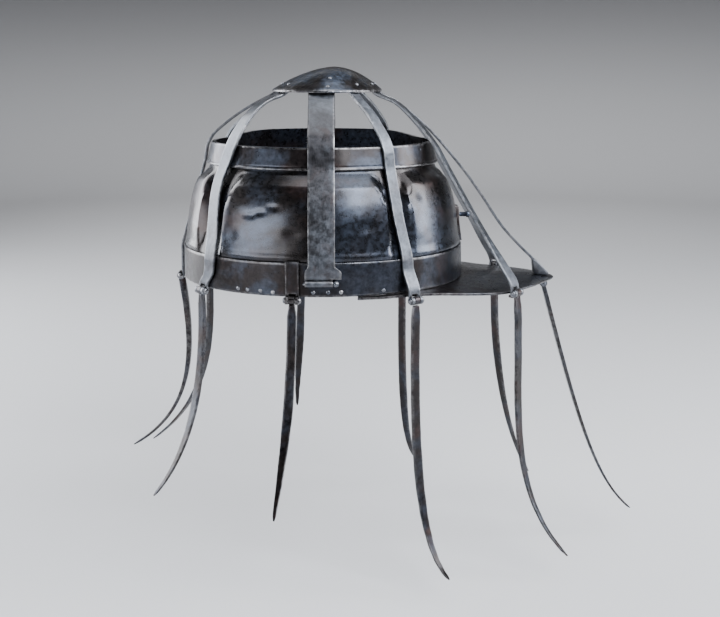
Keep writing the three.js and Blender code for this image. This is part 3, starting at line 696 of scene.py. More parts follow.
def iron(name, groups, black, blue, brown, worn, patch=22.0, blue_least=0.0, blue_share=0.5,
         brown_share=0.35, polish=0.28, dullness=0.25, wear=0.5, marks=130.0, mark_depth=0.5,
         grain=0.15, strokes=0.0, bump=0.25, oil=0.25):
    """One iron finish: its colours, its gloss, its hammer marks and its rubbed edges."""
    material = bpy.data.materials.new(name)
    material.use_nodes = True
    material.diffuse_color = (*blue[:3], 1)
    tree = material.node_tree
    tree.nodes.clear()
    build = Tree(tree)
    where = build.add("ShaderNodeTexCoord").outputs["Object"]
    edge = build.add("ShaderNodeAttribute", attribute_name="edge_wear").outputs["Fac"]

    def placed(key, inputs):
        return build.add("ShaderNodeGroup", inputs, node_tree=groups[key]).outputs

    patina = placed("patina", {
        "Vector": where, "Black": black, "Blue": blue, "Brown": brown, "Patch Scale": patch,
        "Blue Least": blue_least, "Blue Share": blue_share, "Brown Share": brown_share,
        "Polish": polish, "Dullness": dullness})
    rubbed = placed("edge", {"Vector": where, "Edge": edge, "Amount": wear})["Mask"]
    face = placed("beaten", {"Vector": where, "Mark Scale": marks, "Mark Depth": mark_depth,
                             "Grain Depth": grain})["Height"]
    colour = build.blend(build.math("MULTIPLY", patina["Spots"], 0.3), patina["Colour"], brown)
    rough = patina["Roughness"]
    if strokes:
        stroke = placed("strokes", {"Vector": where, "Stretch": STROKE_STRETCH})["Strokes"]
        colour = build.blend(build.math("MULTIPLY", stroke, strokes), colour, worn)
        rough = build.math("ADD", rough, build.math("MULTIPLY", stroke, 0.1), True)
        face = build.math("ADD", face, build.math("MULTIPLY", stroke, 0.12))
    colour = build.blend(rubbed, colour, worn)
    rough = build.math("SUBTRACT", rough, build.math("MULTIPLY", rubbed, 0.08), True)
    height = build.math("SUBTRACT", face, build.math("MULTIPLY", patina["Spots"], 0.06))
    bumped = build.add("ShaderNodeBump", {"Height": height, "Strength": bump,
                                          "Distance": 0.0006}).outputs["Normal"]
    shader = build.add("ShaderNodeBsdfPrincipled",
                       {"Base Color": colour, "Metallic": 1.0, "Roughness": rough,
                        "Normal": bumped, "Coat Weight": oil, "Coat Roughness": OIL_ROUGHNESS,
                        "Coat IOR": 1.45})
    result = build.add("ShaderNodeOutputMaterial")
    tree.links.new(shader.outputs[0], result.inputs["Surface"])
    return material


def build_finishes(tones):
    """All the helmet's iron finishes, from the tones on the panel."""
    groups = {"beaten": beaten_face_group(), "patina": patina_group(),
              "edge": worn_edge_group(), "strokes": file_stroke_group()}
    black, blue, brown, steel, worn = (
        (*tone, 1.0) for tone in (tones.black, tones.blue, tones.brown, tones.steel, tones.worn))
    bases = {"iron": (black, blue), "steel": (black, steel), "rubbed": (blue, worn)}
    return {key: iron(name, groups, *bases[base], brown, worn, **settings)
            for key, (name, base, settings) in FINISH_SETTINGS.items()}


FILED = dict(polish=0.3, dullness=0.2, marks=240.0, mark_depth=0.35, grain=0.25, strokes=0.05,
             bump=0.32, oil=0.4)
# Each finish: the material's name, the tones it starts from, and what differs from plain iron.
FINISH_SETTINGS = {
    "skull": ("black_skull_plate", "iron", dict(
        patch=16.0, blue_share=0.6, brown_share=0.55, polish=0.24, dullness=0.16, wear=0.3,
        marks=95.0, mark_depth=0.3, grain=0.06, bump=0.3, oil=0.6)),
    "band": ("dark_band_iron", "iron", dict(
        patch=26.0, brown_share=0.5, polish=0.27, dullness=0.2, wear=0.55, marks=150.0,
        mark_depth=0.4, bump=0.3, oil=0.45)),
    "crown": ("blued_crown_iron", "iron", dict(
        patch=30.0, blue_share=0.9, brown_share=0.25, polish=0.3, dullness=0.24, wear=0.6,
        marks=260.0, mark_depth=0.8, grain=0.25, bump=0.5, oil=0.3)),
    "peak": ("dark_peak_iron", "iron", dict(
        patch=20.0, brown_share=0.4, polish=0.25, dullness=0.22, marks=110.0, mark_depth=0.4,
        bump=0.3, oil=0.4)),
    "bar": ("filed_bar_iron", "steel", dict(
        FILED, patch=34.0, blue_least=0.7, blue_share=1.0, brown_share=0.3, wear=0.55)),
    "side_bar": ("browned_side_bar_iron", "steel", dict(
        FILED, patch=24.0, blue_least=0.25, blue_share=0.85, brown_share=0.7, wear=0.8)),
    "leg": ("black_leg_iron", "iron", dict(
        patch=30.0, blue_share=0.35, brown_share=0.7, polish=0.26, dullness=0.22, wear=0.3,
        marks=190.0, mark_depth=0.6, bump=0.4, oil=0.4)),
    "bright": ("rubbed_pin_iron", "rubbed", dict(
        patch=90.0, blue_share=0.8, brown_share=0.4, polish=0.24, wear=0.8, marks=400.0,
        bump=0.4, oil=0.2)),
}


FINISHES = {}


# ---------------------------------------------------------------- skull and bands

# Flat grooves between the skull's panels: angle round the skull and half width.
GROOVES = [(180, 8), (-142.2, 11), (149, 8), (-57.4, 5.2), (55, 6), (0, 9)]
# Dents in the panels: angle, height, how wide and high they are, and their depth.
DENTS = [(-47.5, 70, 10, 8, 1.1), (-119.5, 60, 7, 4, 0.7), (-115, 62.5, 6, 3.5, 0.8),
         (-110, 66.5, 7, 4, 0.6), (-101, 47, 9, 6, 0.5), (-72, 52, 10, 7, 0.6),
         (-128, 44, 8, 8, 0.5), (-31, 46, 10, 9, 0.5), (70, 62, 11, 7, 0.8),
         (110, 50, 9, 8, 0.6), (128, 68, 8, 6, 0.7), (30, 66, 12, 8, 0.8), (-165, 58, 9, 8, 0.7),
         (165, 48, 8, 7, 0.5)]

# How round a panel's top corners are, and how wide the slopes at its sides and its top are.
PANEL_CORNER = 2.6
PANEL_SIDE_SLOPE, PANEL_TOP_SLOPE = 5 * MM, 12 * MM


def panel_share(x, y, z):
    """1 on a panel, 0 in a groove, with a slope between that turns softly at the top corners."""
    turn = math.atan2(y / ROUNDNESS, x)
    side = min(abs(turn_between(turn, math.radians(angle))) * BAND_HALF_WIDTH - half * MM
               for angle, half in GROOVES)
    beside = max(PANEL_CORNER - side / PANEL_SIDE_SLOPE, 0)
    above = max(PANEL_CORNER - (PANEL_TOP - z) / PANEL_TOP_SLOPE, 0)
    return smooth(PANEL_CORNER - math.hypot(beside, above), 0, 1)


def dent_depth(turn, z):
    """How deep the dents are at a place on the skull."""
    depth = 0.0
    for angle, height, wide, high, deep in DENTS:
        across = turn_between(turn, math.radians(angle)) * BAND_HALF_WIDTH / (wide * MM)
        up = (z - height * MM) / (high * MM)
        away = math.hypot(across, up)
        if away < 1:
            depth += deep * MM * (1 - away * away) ** 2
    return depth


def pushed_out(point, amount):
    """A point moved outwards from the middle of the rings."""
    radius = math.hypot(point.x, point.y)
    return Vector((point.x * (1 + amount / radius), point.y * (1 + amount / radius), point.z))


class HELMET_OT_skull(bpy.types.Operator):
    """Raises the open skull, with its beaten panels, the flat grooves under the bars and dents"""
    bl_idname = "helmet.skull"
    bl_label = "Skull"

    def execute(self, context):
        shape = context.scene.helmet_shape
        wall = Line(millimetres((113.6, 0), (112.8, 26), (110, 35), (104.5, 56), (99.6, 72),
                                (95.3, 84), (91.8, 93), (88.5, 110)))
        outside = [wall.at(wall.length * share)[0]
                   for share in (*spread(0, 0.22, 7), *spread(0.235, 0.26, 8),
                                 *spread(0.27, 1, 56))]
        inside = [(r - SKULL_THICKNESS, z) for r, z in reversed(outside)]
        lip = [(outside[-1][0] - 0.4 * MM, outside[-1][1] + 0.25 * MM),
               (outside[-1][0] - 1.2 * MM, outside[-1][1] + 0.25 * MM)]
        bm = oval_ring([tuple(p) for p in outside] + lip + inside, shape.ring_steps)

        def beat(point):
            turn = math.atan2(point.y / ROUNDNESS, point.x)
            share = panel_share(point.x, point.y, point.z)
            amount = panel_rise(point.z) * share
            amount += share * uneven(point, 26 * MM, shape.skull_waviness, 3.1)
            amount += share * hammered(point, 9 * MM, 0.1 * MM)
            amount -= shape.dent_depth * dent_depth(turn, point.z) * min(share * 1.6, 1)
            moved = pushed_out(point, amount)
            moved.z += far_rim_lift(point.y, point.z)
            return moved

        def worn_at(place):
            share = panel_share(*place)
            return 0.2 * smooth(share, 0.35, 0.8) * (1 - smooth(share, 0.8, 1.0))

        rub(bm, worn_at)
        reshape(bm, beat)
        finish_piece("skull_shell", bm, FINISHES["skull"], "skull")
        return {"FINISHED"}


class HELMET_OT_bands(bpy.types.Operator):
    """Bends the brow band round the skull's foot and the beaded rim band round its top"""
    bl_idname = "helmet.bands"
    bl_label = "Brow and rim bands"

    def execute(self, context):
        shape = context.scene.helmet_shape
        top, low = BAND_TOP_HALF_LENGTH, BAND_HALF_LENGTH
        face = [(mix(low, top, share), mix(0.5 * MM, BAND_HEIGHT - 0.7 * MM, share))
                for share in spread(0, 1, 16)]
        inside = [(r - BAND_THICKNESS, z) for r, z in reversed(face)]
        loop = ([(low - 0.4 * MM, 0)] + face + [(top - 0.25 * MM, BAND_HEIGHT - 0.15 * MM),
                (top - 0.7 * MM, BAND_HEIGHT), (top - 1.5 * MM, BAND_HEIGHT)]
                + inside + [(low - 1.6 * MM, 0)])
        band = oval_ring(loop, shape.ring_steps)
        rub(band, lambda p: near_edge(min(p.z, BAND_HEIGHT - p.z), 1.8 * MM))
        reshape(band, lambda p: pushed_out(p, uneven(p, 19 * MM, 0.14 * MM, 7.7)))
        finish_piece("brow_band_ring", band, FINISHES["band"], "brow_band")

        foot = RIM_BOTTOM_HALF_LENGTH
        flat = foot - RIM_BEAD
        bead = [(foot - 0.75 * MM, RIM_BOTTOM), (foot - 0.3 * MM, RIM_BOTTOM + 0.2 * MM),
                (foot - 0.05 * MM, RIM_BOTTOM + 0.6 * MM), (foot, RIM_BOTTOM + 1 * MM),
                (foot - 0.1 * MM, RIM_BOTTOM + 1.5 * MM), (foot - 0.45 * MM, RIM_BOTTOM + 2 * MM),
                (flat - 0.1 * MM, RIM_BOTTOM + 2.5 * MM)]
        steps = spread(0, 1, 14)
        face = [(mix(flat - 0.12 * MM, RIM_TOP_HALF_LENGTH, share),
                 mix(RIM_BOTTOM + 3.2 * MM, RIM_TOP - 0.6 * MM, share)) for share in steps]
        lip = [(RIM_TOP_HALF_LENGTH - 0.3 * MM, RIM_TOP - 0.1 * MM),
               (RIM_TOP_HALF_LENGTH - 0.9 * MM, RIM_TOP),
               (RIM_TOP_HALF_LENGTH - 1.5 * MM, RIM_TOP - 0.1 * MM)]
        inner = [(mix(RIM_TOP_HALF_LENGTH, flat, share) - RIM_THICKNESS,
                  mix(RIM_TOP - 0.6 * MM, RIM_BOTTOM, share)) for share in steps]
        rim = oval_ring(bead + face + lip + inner, shape.ring_steps)
        rub(rim, lambda p: near_edge(min(abs(p.z - RIM_BOTTOM - 1 * MM), RIM_TOP - p.z),
                                     1.6 * MM))

        def fit(point):
            moved = pushed_out(point, uneven(point, 15 * MM, 0.12 * MM, 2.4))
            moved.z += far_rim_lift(point.y, point.z)
            return moved

        reshape(rim, fit)
        finish_piece("rim_band_ring", rim, FINISHES["band"], "rim_band")
        return {"FINISHED"}


class HELMET_OT_crown(bpy.types.Operator):
    """Dishes the hammered disc that holds the bars together at the top"""
    bl_idname = "helmet.crown"
    bl_label = "Crown disc"

    def execute(self, context):
        shape = context.scene.helmet_shape
        radii = spread(0, CROWN_RADIUS - 0.6 * MM, 30)
        upper = [(r, crown_height(r)) for r in radii]
        edge = [(CROWN_RADIUS - 0.15 * MM, CROWN_EDGE_HEIGHT - 0.1 * MM),
                (CROWN_RADIUS, CROWN_EDGE_HEIGHT - 0.7 * MM),
                (CROWN_RADIUS - 0.15 * MM, CROWN_EDGE_HEIGHT - 1.4 * MM)]
        lower = [(r, z - CROWN_THICKNESS) for r, z in reversed(upper)]
        bm = spun(upper + edge + lower, 144, closed=False)
        rub(bm, lambda p: near_edge(CROWN_RADIUS - math.hypot(p.x, p.y), 1.8 * MM))

        def dish(point):
            radius = math.hypot(point.x, point.y)
            calm = 1 - smooth(radius, CROWN_RADIUS - 3 * MM, CROWN_RADIUS)
            lower_by = hammered(point, 6.5 * MM, shape.hammer_depth, 5.0) * calm
            lower_by += uneven(point, 20 * MM, 0.25 * MM, 1.2) * calm
            return Vector((point.x + crown_lean(min(radius / CROWN_RADIUS, 1)) + CROWN_X,
                           point.y, point.z + lower_by))

        reshape(bm, dish)
        finish_piece("crown_dome", bm, FINISHES["crown"], "crown_disc", sharp=60)
        return {"FINISHED"}


# The peak's outer edge on the near side and its inner edge's half length, in millimetres, and
# the grid that it is laid out on.
PEAK_RIM = [(27, -100), (48, -95), (68.5, -86.5), (91, -78.5), (110, -73), (131, -65.5),
            (150.5, -56), (163, -44.5), (176, -31), (187, -15.5), (193, -6), (194.5, 0)]
PEAK_GRID_LENGTH, PEAK_GRID_DEPTH = 0.3, 0.06
PEAK_END_ANGLE = 76
PEAK_INNER_HALF_LENGTH = 113


class HELMET_OT_peak(bpy.types.Operator):
    """Cuts the crescent peak and sets its ridge, with a rounded rim and hammer marks"""
    bl_idname = "helmet.peak"
    bl_label = "Peak"

    def execute(self, context):
        shape = context.scene.helmet_shape
        far_half = [(x, -y) for x, y in reversed(PEAK_RIM[:-1])]
        rim = Line(millimetres(*PEAK_RIM, *far_half))
        length, depth = PEAK_GRID_LENGTH, PEAK_GRID_DEPTH
        bm = slab(spread(-length / 2, length / 2, 132), spread(0, depth, 30), PEAK_THICKNESS,
                  0.55 * MM, 3)
        rub(bm, lambda p: near_edge(p.y, 1.8 * MM))

        def lay(point):
            along, inwards = point.x / length + 0.5, point.y / depth
            outer = rim.at(rim.length * along)[0]
            turn = math.radians(mix(-PEAK_END_ANGLE, PEAK_END_ANGLE, along))
            inner = Vector((math.cos(turn), ROUNDNESS * math.sin(turn)))
            inner = inner * PEAK_INNER_HALF_LENGTH * MM
            place = outer.lerp(inner, inwards)
            fall = peak_fall(place.x, place.y)
            beaten = hammered((place.x, place.y, 0), 10 * MM, shape.hammer_depth * 0.6, 9.0)
            beaten += uneven((place.x, place.y, 0), 26 * MM, 0.35 * MM, 4.0)
            beaten *= smooth(inwards, 0.0, 0.15)
            return Vector((place.x, place.y,
                           point.z - PEAK_THICKNESS - GAP - fall + beaten))

        reshape(bm, lay)
        face_outwards(bm)
        finish_piece("peak_plate", bm, FINISHES["peak"], "peak")
        return {"FINISHED"}


# ---------------------------------------------------------------- bars and hinges


def rolled_rows(length, roll_length, cell, fine=22):
    """Rows of a strip that ends in a roll: even along the strip and closer round the roll."""
    rows = spread(0, length, max(2, round(length / cell)))
    return rows + [length + roll_length * i / fine for i in range(1, fine + 1)]


def roll_point(turn, radius, start=math.pi, side=1):
    """Place and inward direction on a roll, from where it leaves its strip."""
    angle = start + side * turn
    outward = Vector((math.cos(angle), math.sin(angle)))
    return outward * radius, -outward


def forked_columns():
    """Columns of a bar's foot, with a column at each side of its slot."""
    outer = spread(SLOT_HALF, BAR_FOOT_WIDTH / 2, 3)
    inner = spread(-SLOT_HALF, SLOT_HALF, 6)
    return [-x for x in reversed(outer)] + inner[1:-1] + outer


def nearest(rows, place):
    """The row that lies nearest to a place."""
    return min(rows, key=lambda row: abs(row - place))


def narrow_bar(station, edge):
    """A bar from the crown disc down to its foot, rolled there into two knuckles."""
    line = Line(bar_line(station))
    angle, swing, pivot = station.angle, station.swing, station.pivot
    ring_turn = 0.0 if station.foot == "peak" else turn_between(ring_normal(angle), angle)
    rolled = station.foot != "tip"
    roll_turn, thin, ease = BAR_ROLL_TURN, KNUCKLE_THICKNESS, 7 * MM
    roll_length = roll_turn * (BARREL_RADIUS - thin / 2) if rolled else 0.0
    if rolled:
        rows = rolled_rows(line.length, roll_length, 1.6 * MM)
        cut = (-SLOT_HALF, SLOT_HALF, nearest(rows, line.length - SLOT_DEPTH))
    else:
        rows, cut = spread(0, line.length, 110), None
    bm = slab(forked_columns(), rows, BAR_THICKNESS, edge, 2, cut)
    inset = BARREL_RADIUS - BAR_THICKNESS / 2
    shift = Vector((math.cos(angle) - math.cos(swing), math.sin(angle) - math.sin(swing), 0))

    def forge(point):
        across, along, share = point.x, point.y, point.z / BAR_THICKNESS
        if along > line.length and rolled:
            turn = (along - line.length) / roll_length * roll_turn
            place, inward = roll_point(turn, BARREL_RADIUS)
            flat = place + inward * (share * thin)
            return station.at_pin @ Vector((flat.x, across, flat.y))
        middle, tangent = line.at(along)
        width = mix(station.bar_width - 1.2 * MM * smooth(middle.y, 110 * MM, 150 * MM),
                    BAR_FOOT_WIDTH, smooth(-middle.y, -40 * MM, -6 * MM)) / BAR_FOOT_WIDTH
        turn = mix(ring_turn * smooth(-middle.y, -CROWN_EDGE_HEIGHT, -RIM_TOP),
                   turn_between(swing, angle), smooth(-middle.y, -45 * MM, -8 * MM))
        around = angle + sweep_at(station.sweep, middle.y)
        facing = around + turn
        thick = mix(BAR_THICKNESS, thin, smooth(along, line.length - ease, line.length)
                    if rolled else 0.0)
        deep = share * thick - BAR_THICKNESS / 2
        near_pin = smooth(-middle.y, -pivot.z - 9 * MM, -pivot.z - 1 * MM) if rolled else 0.0
        out = -tangent.y * deep
        place = Vector((CROWN_X + middle.x * math.cos(around), middle.x * math.sin(around),
                        middle.y + tangent.x * deep)) + shift * (inset * near_pin)
        wave = uneven((along, station.angle, 0), 9 * MM, 0.16 * MM, station.angle * 10)
        wave *= 1 - smooth(along, line.length - 14 * MM, line.length - 6 * MM)
        beside = across * width + wave
        return place + Vector((out * math.cos(facing) - beside * math.sin(facing),
                               out * math.sin(facing) + beside * math.cos(facing), 0))

    return reshape(bm, forge)


def wedge_foot(edge):
    """The wedge that stands the tip bar on the ridge of the peak."""
    outline = millimetres((173.6, -1.7), (185.2, -3.1), (186.4, -1.2), (174.6, 10.6),
                          (171.5, 10.6))
    return outline_block(outline, BAR_FOOT_WIDTH - 1 * MM, edge)


class HELMET_OT_narrow_bars(bpy.types.Operator):
    """Forges the eight narrow bars of the cage, each turned and rolled round its pin"""
    bl_idname = "helmet.narrow_bars"
    bl_label = "Narrow bars"

    def execute(self, context):
        shape = context.scene.helmet_shape
        for station in NARROW_STATIONS:
            bm = narrow_bar(station, shape.bar_edge)
            if station.foot == "tip":
                join(bm, wedge_foot(0.8 * MM), Matrix.Translation((CROWN_X, 0, 0)))
            face_outwards(bm)
            finish_piece(f"cage_{station.name}", bm, FINISHES["bar"],
                         f"bar_{station.name}")
        return {"FINISHED"}


# The rolled foot of a wide side bar: its size, where it ends towards the peak, and its widening.
SIDE_ROLL_RADIUS = 2.3 * MM
SIDE_ROLL_THICKNESS = 0.95 * MM
SIDE_ROLL_HEIGHT = 10.6 * MM
SIDE_ROLL_END = 8.4 * MM
SIDE_WIDENING_REAR, SIDE_WIDENING_PEAK = 2.6 * MM, 5 * MM
SIDE_ROLL_OUT = ring_half_length(SIDE_ROLL_HEIGHT) * ROUNDNESS + GAP + SIDE_ROLL_RADIUS + 0.1 * MM


def side_bar(side, edge):
    """A wide bar over one side, its foot wider towards the peak and rolled round a side pin."""
    half = SIDE_BAR_WIDTH / 2
    inner = SIDE_ROLL_OUT - SIDE_ROLL_RADIUS
    line = Line([*over_skull(math.pi / 2, 2.6 * MM, over_panel=True)[:-1],
                 (inner + BAR_THICKNESS / 2, SIDE_ROLL_HEIGHT)])
    thin, roll_turn = SIDE_ROLL_THICKNESS, SIDE_ROLL_TURN
    roll_length = roll_turn * (SIDE_ROLL_RADIUS - thin / 2)
    rows = rolled_rows(line.length, roll_length, 1.6 * MM, 20)
    short = SIDE_ROLL_END / (1 + SIDE_WIDENING_PEAK / half)
    bm = slab([*spread(-half, short, 14), *spread(short, half, 4)[1:]], rows, BAR_THICKNESS, edge,
              2, (short, half, nearest(rows, line.length - 3.3 * MM)))

    def forge(point):
        across, along, share = point.x, point.y, point.z / BAR_THICKNESS
        if along > line.length:
            turn = (along - line.length) / roll_length * roll_turn
            place, inward = roll_point(turn, SIDE_ROLL_RADIUS)
            flat = place + inward * (share * thin)
            r, z = SIDE_ROLL_OUT + flat.x, SIDE_ROLL_HEIGHT + flat.y
        else:
            middle, tangent = line.at(along)
            thick = mix(BAR_THICKNESS, thin, smooth(along, line.length - 6 * MM, line.length))
            deep = share * thick - BAR_THICKNESS / 2
            r, z = middle.x - tangent.y * deep, middle.y + tangent.x * deep
        widening = SIDE_WIDENING_PEAK if across > 0 else SIDE_WIDENING_REAR
        across *= 1 + widening / half * smooth(24 * MM - z, 0, 5 * MM)
        across += uneven((along, side, 0), 12 * MM, 0.2 * MM, 2.0)
        return Vector((across, side * r, z))

    reshape(bm, forge)
    face_outwards(bm)
    return bm


class HELMET_OT_side_bars(bpy.types.Operator):
    """Forges the two wide bars over the sides, with the pins in their rolled feet"""
    bl_idname = "helmet.side_bars"
    bl_label = "Wide side bars and their pins"

    def execute(self, context):
        shape = context.scene.helmet_shape
        for side, name in ((-1, "side_near"), (1, "side_far")):
            finish_piece(f"cage_{name}", side_bar(side, shape.bar_edge), FINISHES["side_bar"],
                         f"bar_{name}")
            low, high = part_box(f"side_pin_{name}")
            end, knob = low.x, high.x - 2.4 * MM
            outline = [(0, end), (0.7 * MM, end), (1 * MM, end + 0.3 * MM),
                       (1 * MM, knob - 2.0 * MM), (1.6 * MM, knob - 1.8 * MM),
                       (2.2 * MM, knob - 1 * MM), (2.4 * MM, knob), (2.1 * MM, knob + 1.2 * MM),
                       (1.3 * MM, knob + 2.05 * MM), (0, knob + 2.4 * MM)]
            pin = spun(outline, 24, (1, 0, 0), closed=False)
            rub(pin, lambda p: 0.5 + 0.5 * smooth(p.x, knob - 2 * MM, knob))
            bmesh.ops.translate(pin, vec=(0, side * SIDE_ROLL_OUT, SIDE_ROLL_HEIGHT),
                                verts=pin.verts[:])
            finish_piece(f"side_rod_{name}", pin, FINISHES["bright"],
                         f"side_pin_{name}", sharp=50)
        return {"FINISHED"}


def hinge_ribbon(path_start, roll_start, side, roll_turn, edge):
    """A strip from a point to a roll round the origin, slotted there for a leg's eye."""
    joint = Vector((math.cos(roll_start), math.sin(roll_start))) * BARREL_RADIUS
    start = Vector(path_start)
    length = (joint - start).length
    roll_length = roll_turn * (BARREL_RADIUS - KNUCKLE_THICKNESS / 2)
    rows = rolled_rows(length, roll_length, 1.2 * MM)
    bm = slab(forked_columns(), rows, BAR_THICKNESS, edge, 2,
              (-SLOT_HALF, SLOT_HALF, nearest(rows, length - SLOT_DEPTH)))

    def forge(point):
        across, along, share = point.x, point.y, point.z / BAR_THICKNESS
        if along > length:
            place, inward = roll_point((along - length) / roll_length * roll_turn,
                                       BARREL_RADIUS, roll_start, side)
            flat = place + inward * (share * KNUCKLE_THICKNESS)
        else:
            thick = mix(BAR_THICKNESS, KNUCKLE_THICKNESS,
                        smooth(along, length - 6 * MM, length))
            inward = -joint.normalized()
            flat = start.lerp(joint, along / length) + inward * (share * thick)
        return Vector((flat.x, across, flat.y))

    reshape(bm, forge)
    face_outwards(bm)
    return bm


def hang_hinge(station, bm):
    """Sets a hinge plate down on its pin and finishes it."""
    reshape(bm, lambda p: station.at_pin @ p)
    finish_piece(f"hanger_{station.name}", bm, FINISHES["band"],
                 f"hinge_{station.name}")


class HELMET_OT_hinges(bpy.types.Operator):
    """Makes the hinge plates beside the wide bars and the fork under the peak's tip"""
    bl_idname = "helmet.hinges"
    bl_label = "Hinge plates"

    def execute(self, context):
        shape = context.scene.helmet_shape
        for station in PLATE_STATIONS:
            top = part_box(f"hinge_{station.name}")[1].z - station.pivot.z
            bm = hinge_ribbon((-BARREL_RADIUS, top), math.pi, 1, PLATE_ROLL_TURN,
                              shape.bar_edge)
            hang_hinge(station, bm)
        tip = next(station for station in STATIONS if station.foot == "tip")
        hang_hinge(tip, hinge_ribbon((-10.1 * MM, BARREL_RADIUS), math.pi / 2, -1,
                                     TIP_ROLL_TURN, shape.bar_edge))
        return {"FINISHED"}


class HELMET_OT_pins(bpy.types.Operator):
    """Turns the ten hinge pins with their rubbed, riveted heads"""
    bl_idname = "helmet.pins"
    bl_label = "Hinge pins"

    def execute(self, context):
        for station in STATIONS:
            half = BAR_FOOT_WIDTH / 2 + GAP
            dome = millimetres((0, 1.6), (1.0, 1.5), (1.7, 1.15), (2.15, 0.65), (2.3, 0.25),
                               (2.25, 0))
            near = [(r, half + y) for r, y in dome]
            far = [(r, -half - y) for r, y in reversed(dome)]
            outline = near + [(PIN_RADIUS, half), (PIN_RADIUS, -half)] + far
            bm = spun(outline, 28, (0, 1, 0), closed=False)
            rub(bm, lambda p: smooth(abs(p.y), half, half + 0.5 * MM))

            def set_pin(point):
                struck = 0.12 * MM * noise.noise(point / (1.4 * MM) + station.pivot * 90)
                return station.at_pin @ (point * (1 + struck / max(point.length, MM)))

            reshape(bm, set_pin)
            finish_piece(f"pivot_{station.name}", bm, FINISHES["bright"],
                         f"pin_{station.name}", sharp=50)
        return {"FINISHED"}


# ---------------------------------------------------------------- legs


def heel_top(station):
    """Height above the pin at which the band or the peak stops a leg's heel."""
    if station.foot in ("band", "plate"):
        return HINGE_DROP - GAP
    inset = 0 if station.foot == "tip" else 2 * MM
    x = station.pivot.x - inset * math.cos(station.swing)
    y = station.pivot.y - inset * math.sin(station.swing)
    return -PEAK_THICKNESS - peak_fall(x, y) - 3 * GAP - station.pivot.z


def leg_blade(station, edge):
    """The tapered blade of a leg, broad in the middle, fine at the tip and bent by hand."""
    *bends, top = LEGS[station.name]
    (ax, ay, az), (bx, by, bz), (cx, cy, cz) = millimetres(*bends)
    bend_a, bend_b, tip = Vector((ax, ay, -az)), Vector((bx, by, -bz)), Vector((cx, cy, -cz))
    flat_width, flat_thick = LEG_STRIP_WIDTH, LEG_STRIP_THICKNESS
    length = tip.length * LEG_STRIP_SPARE
    bm = slab(spread(-flat_width / 2, flat_width / 2, 4), spread(0, length, 84), flat_thick,
              edge, 3)
    rub(bm, lambda p: smooth(abs(p.x) / (flat_width / 2), 0.55, 1.0) * 0.9)

    def forge(point):
        start = 2.3 * MM / length
        t = mix(start, 1.0, point.y / length)
        s = 1 - t
        place = bend_a * (3 * s * s * t) + bend_b * (3 * s * t * t) + tip * t ** 3
        tangent = (bend_a * (3 * s * s) + (bend_b - bend_a) * (6 * s * t)
                   + (tip - bend_b) * (3 * t * t)).normalized()
        outward = Vector((-tangent.z, 0, tangent.x)).normalized()
        width = (mix(6.8, 7.6, t / 0.4) if t < 0.4
                 else mix(7.6, 2.2, ((t - 0.4) / 0.6) ** 1.2)) * MM
        neck = smooth(place.length, 4.2 * MM, 30 * MM)
        width = min(width, mix(LEG_EYE_WIDTH - 0.2 * MM, 20 * MM, neck))
        thick = mix(top, 1.6, t ** 0.9) * MM
        fine = 1 - 0.45 * smooth(t, 0.965, 1.0)
        wobble = uneven((t * tip.length, station.angle * 3, 0), 11 * MM, 0.22 * MM, 6.0)
        wobble *= smooth(t, 0.04, 0.12)
        place += outward * ((point.z - flat_thick / 2) / flat_thick * thick * fine
                            + wobble * 0.4)
        place.y += point.x / flat_width * width * fine + wobble
        return place

    reshape(bm, forge)
    face_outwards(bm)
    return bm


def leg_eye():
    """The round eye at the top of a leg, drilled for its pin."""
    half, hole = LEG_EYE_WIDTH / 2, PIN_RADIUS + GAP
    soft = 0.35 * MM
    outline = [(hole, -half + soft), (hole + soft, -half), (BARREL_RADIUS - soft, -half),
               (BARREL_RADIUS, -half + soft), (BARREL_RADIUS, half - soft),
               (BARREL_RADIUS - soft, half), (hole + soft, half), (hole, half - soft)]
    bm = spun(outline, 36, (0, 1, 0))
    rub(bm, lambda p: 0.5)
    return bm


class HELMET_OT_legs(bpy.types.Operator):
    """Draws out the ten hanging legs, each with a drilled eye, a heel and a bent blade"""
    bl_idname = "helmet.legs"
    bl_label = "Hanging legs"

    def execute(self, context):
        shape = context.scene.helmet_shape
        for station in STATIONS:
            bm = leg_blade(station, shape.leg_edge)
            join(bm, leg_eye())
            top = heel_top(station)
            heel = outline_block([(-6.4 * MM, top - 2.1 * MM), (-2.2 * MM, top - 2.4 * MM),
                                  (-2.2 * MM, top), (-6.4 * MM, top)],
                                 LEG_EYE_WIDTH, 0.45 * MM)
            join(bm, heel)
            reshape(bm, lambda p: station.at_pin @ p)
            finish_piece(f"hanging_{station.name}", bm, FINISHES["leg"],
                         f"leg_{station.name}")
        return {"FINISHED"}


# ---------------------------------------------------------------- strap, stud and rivets


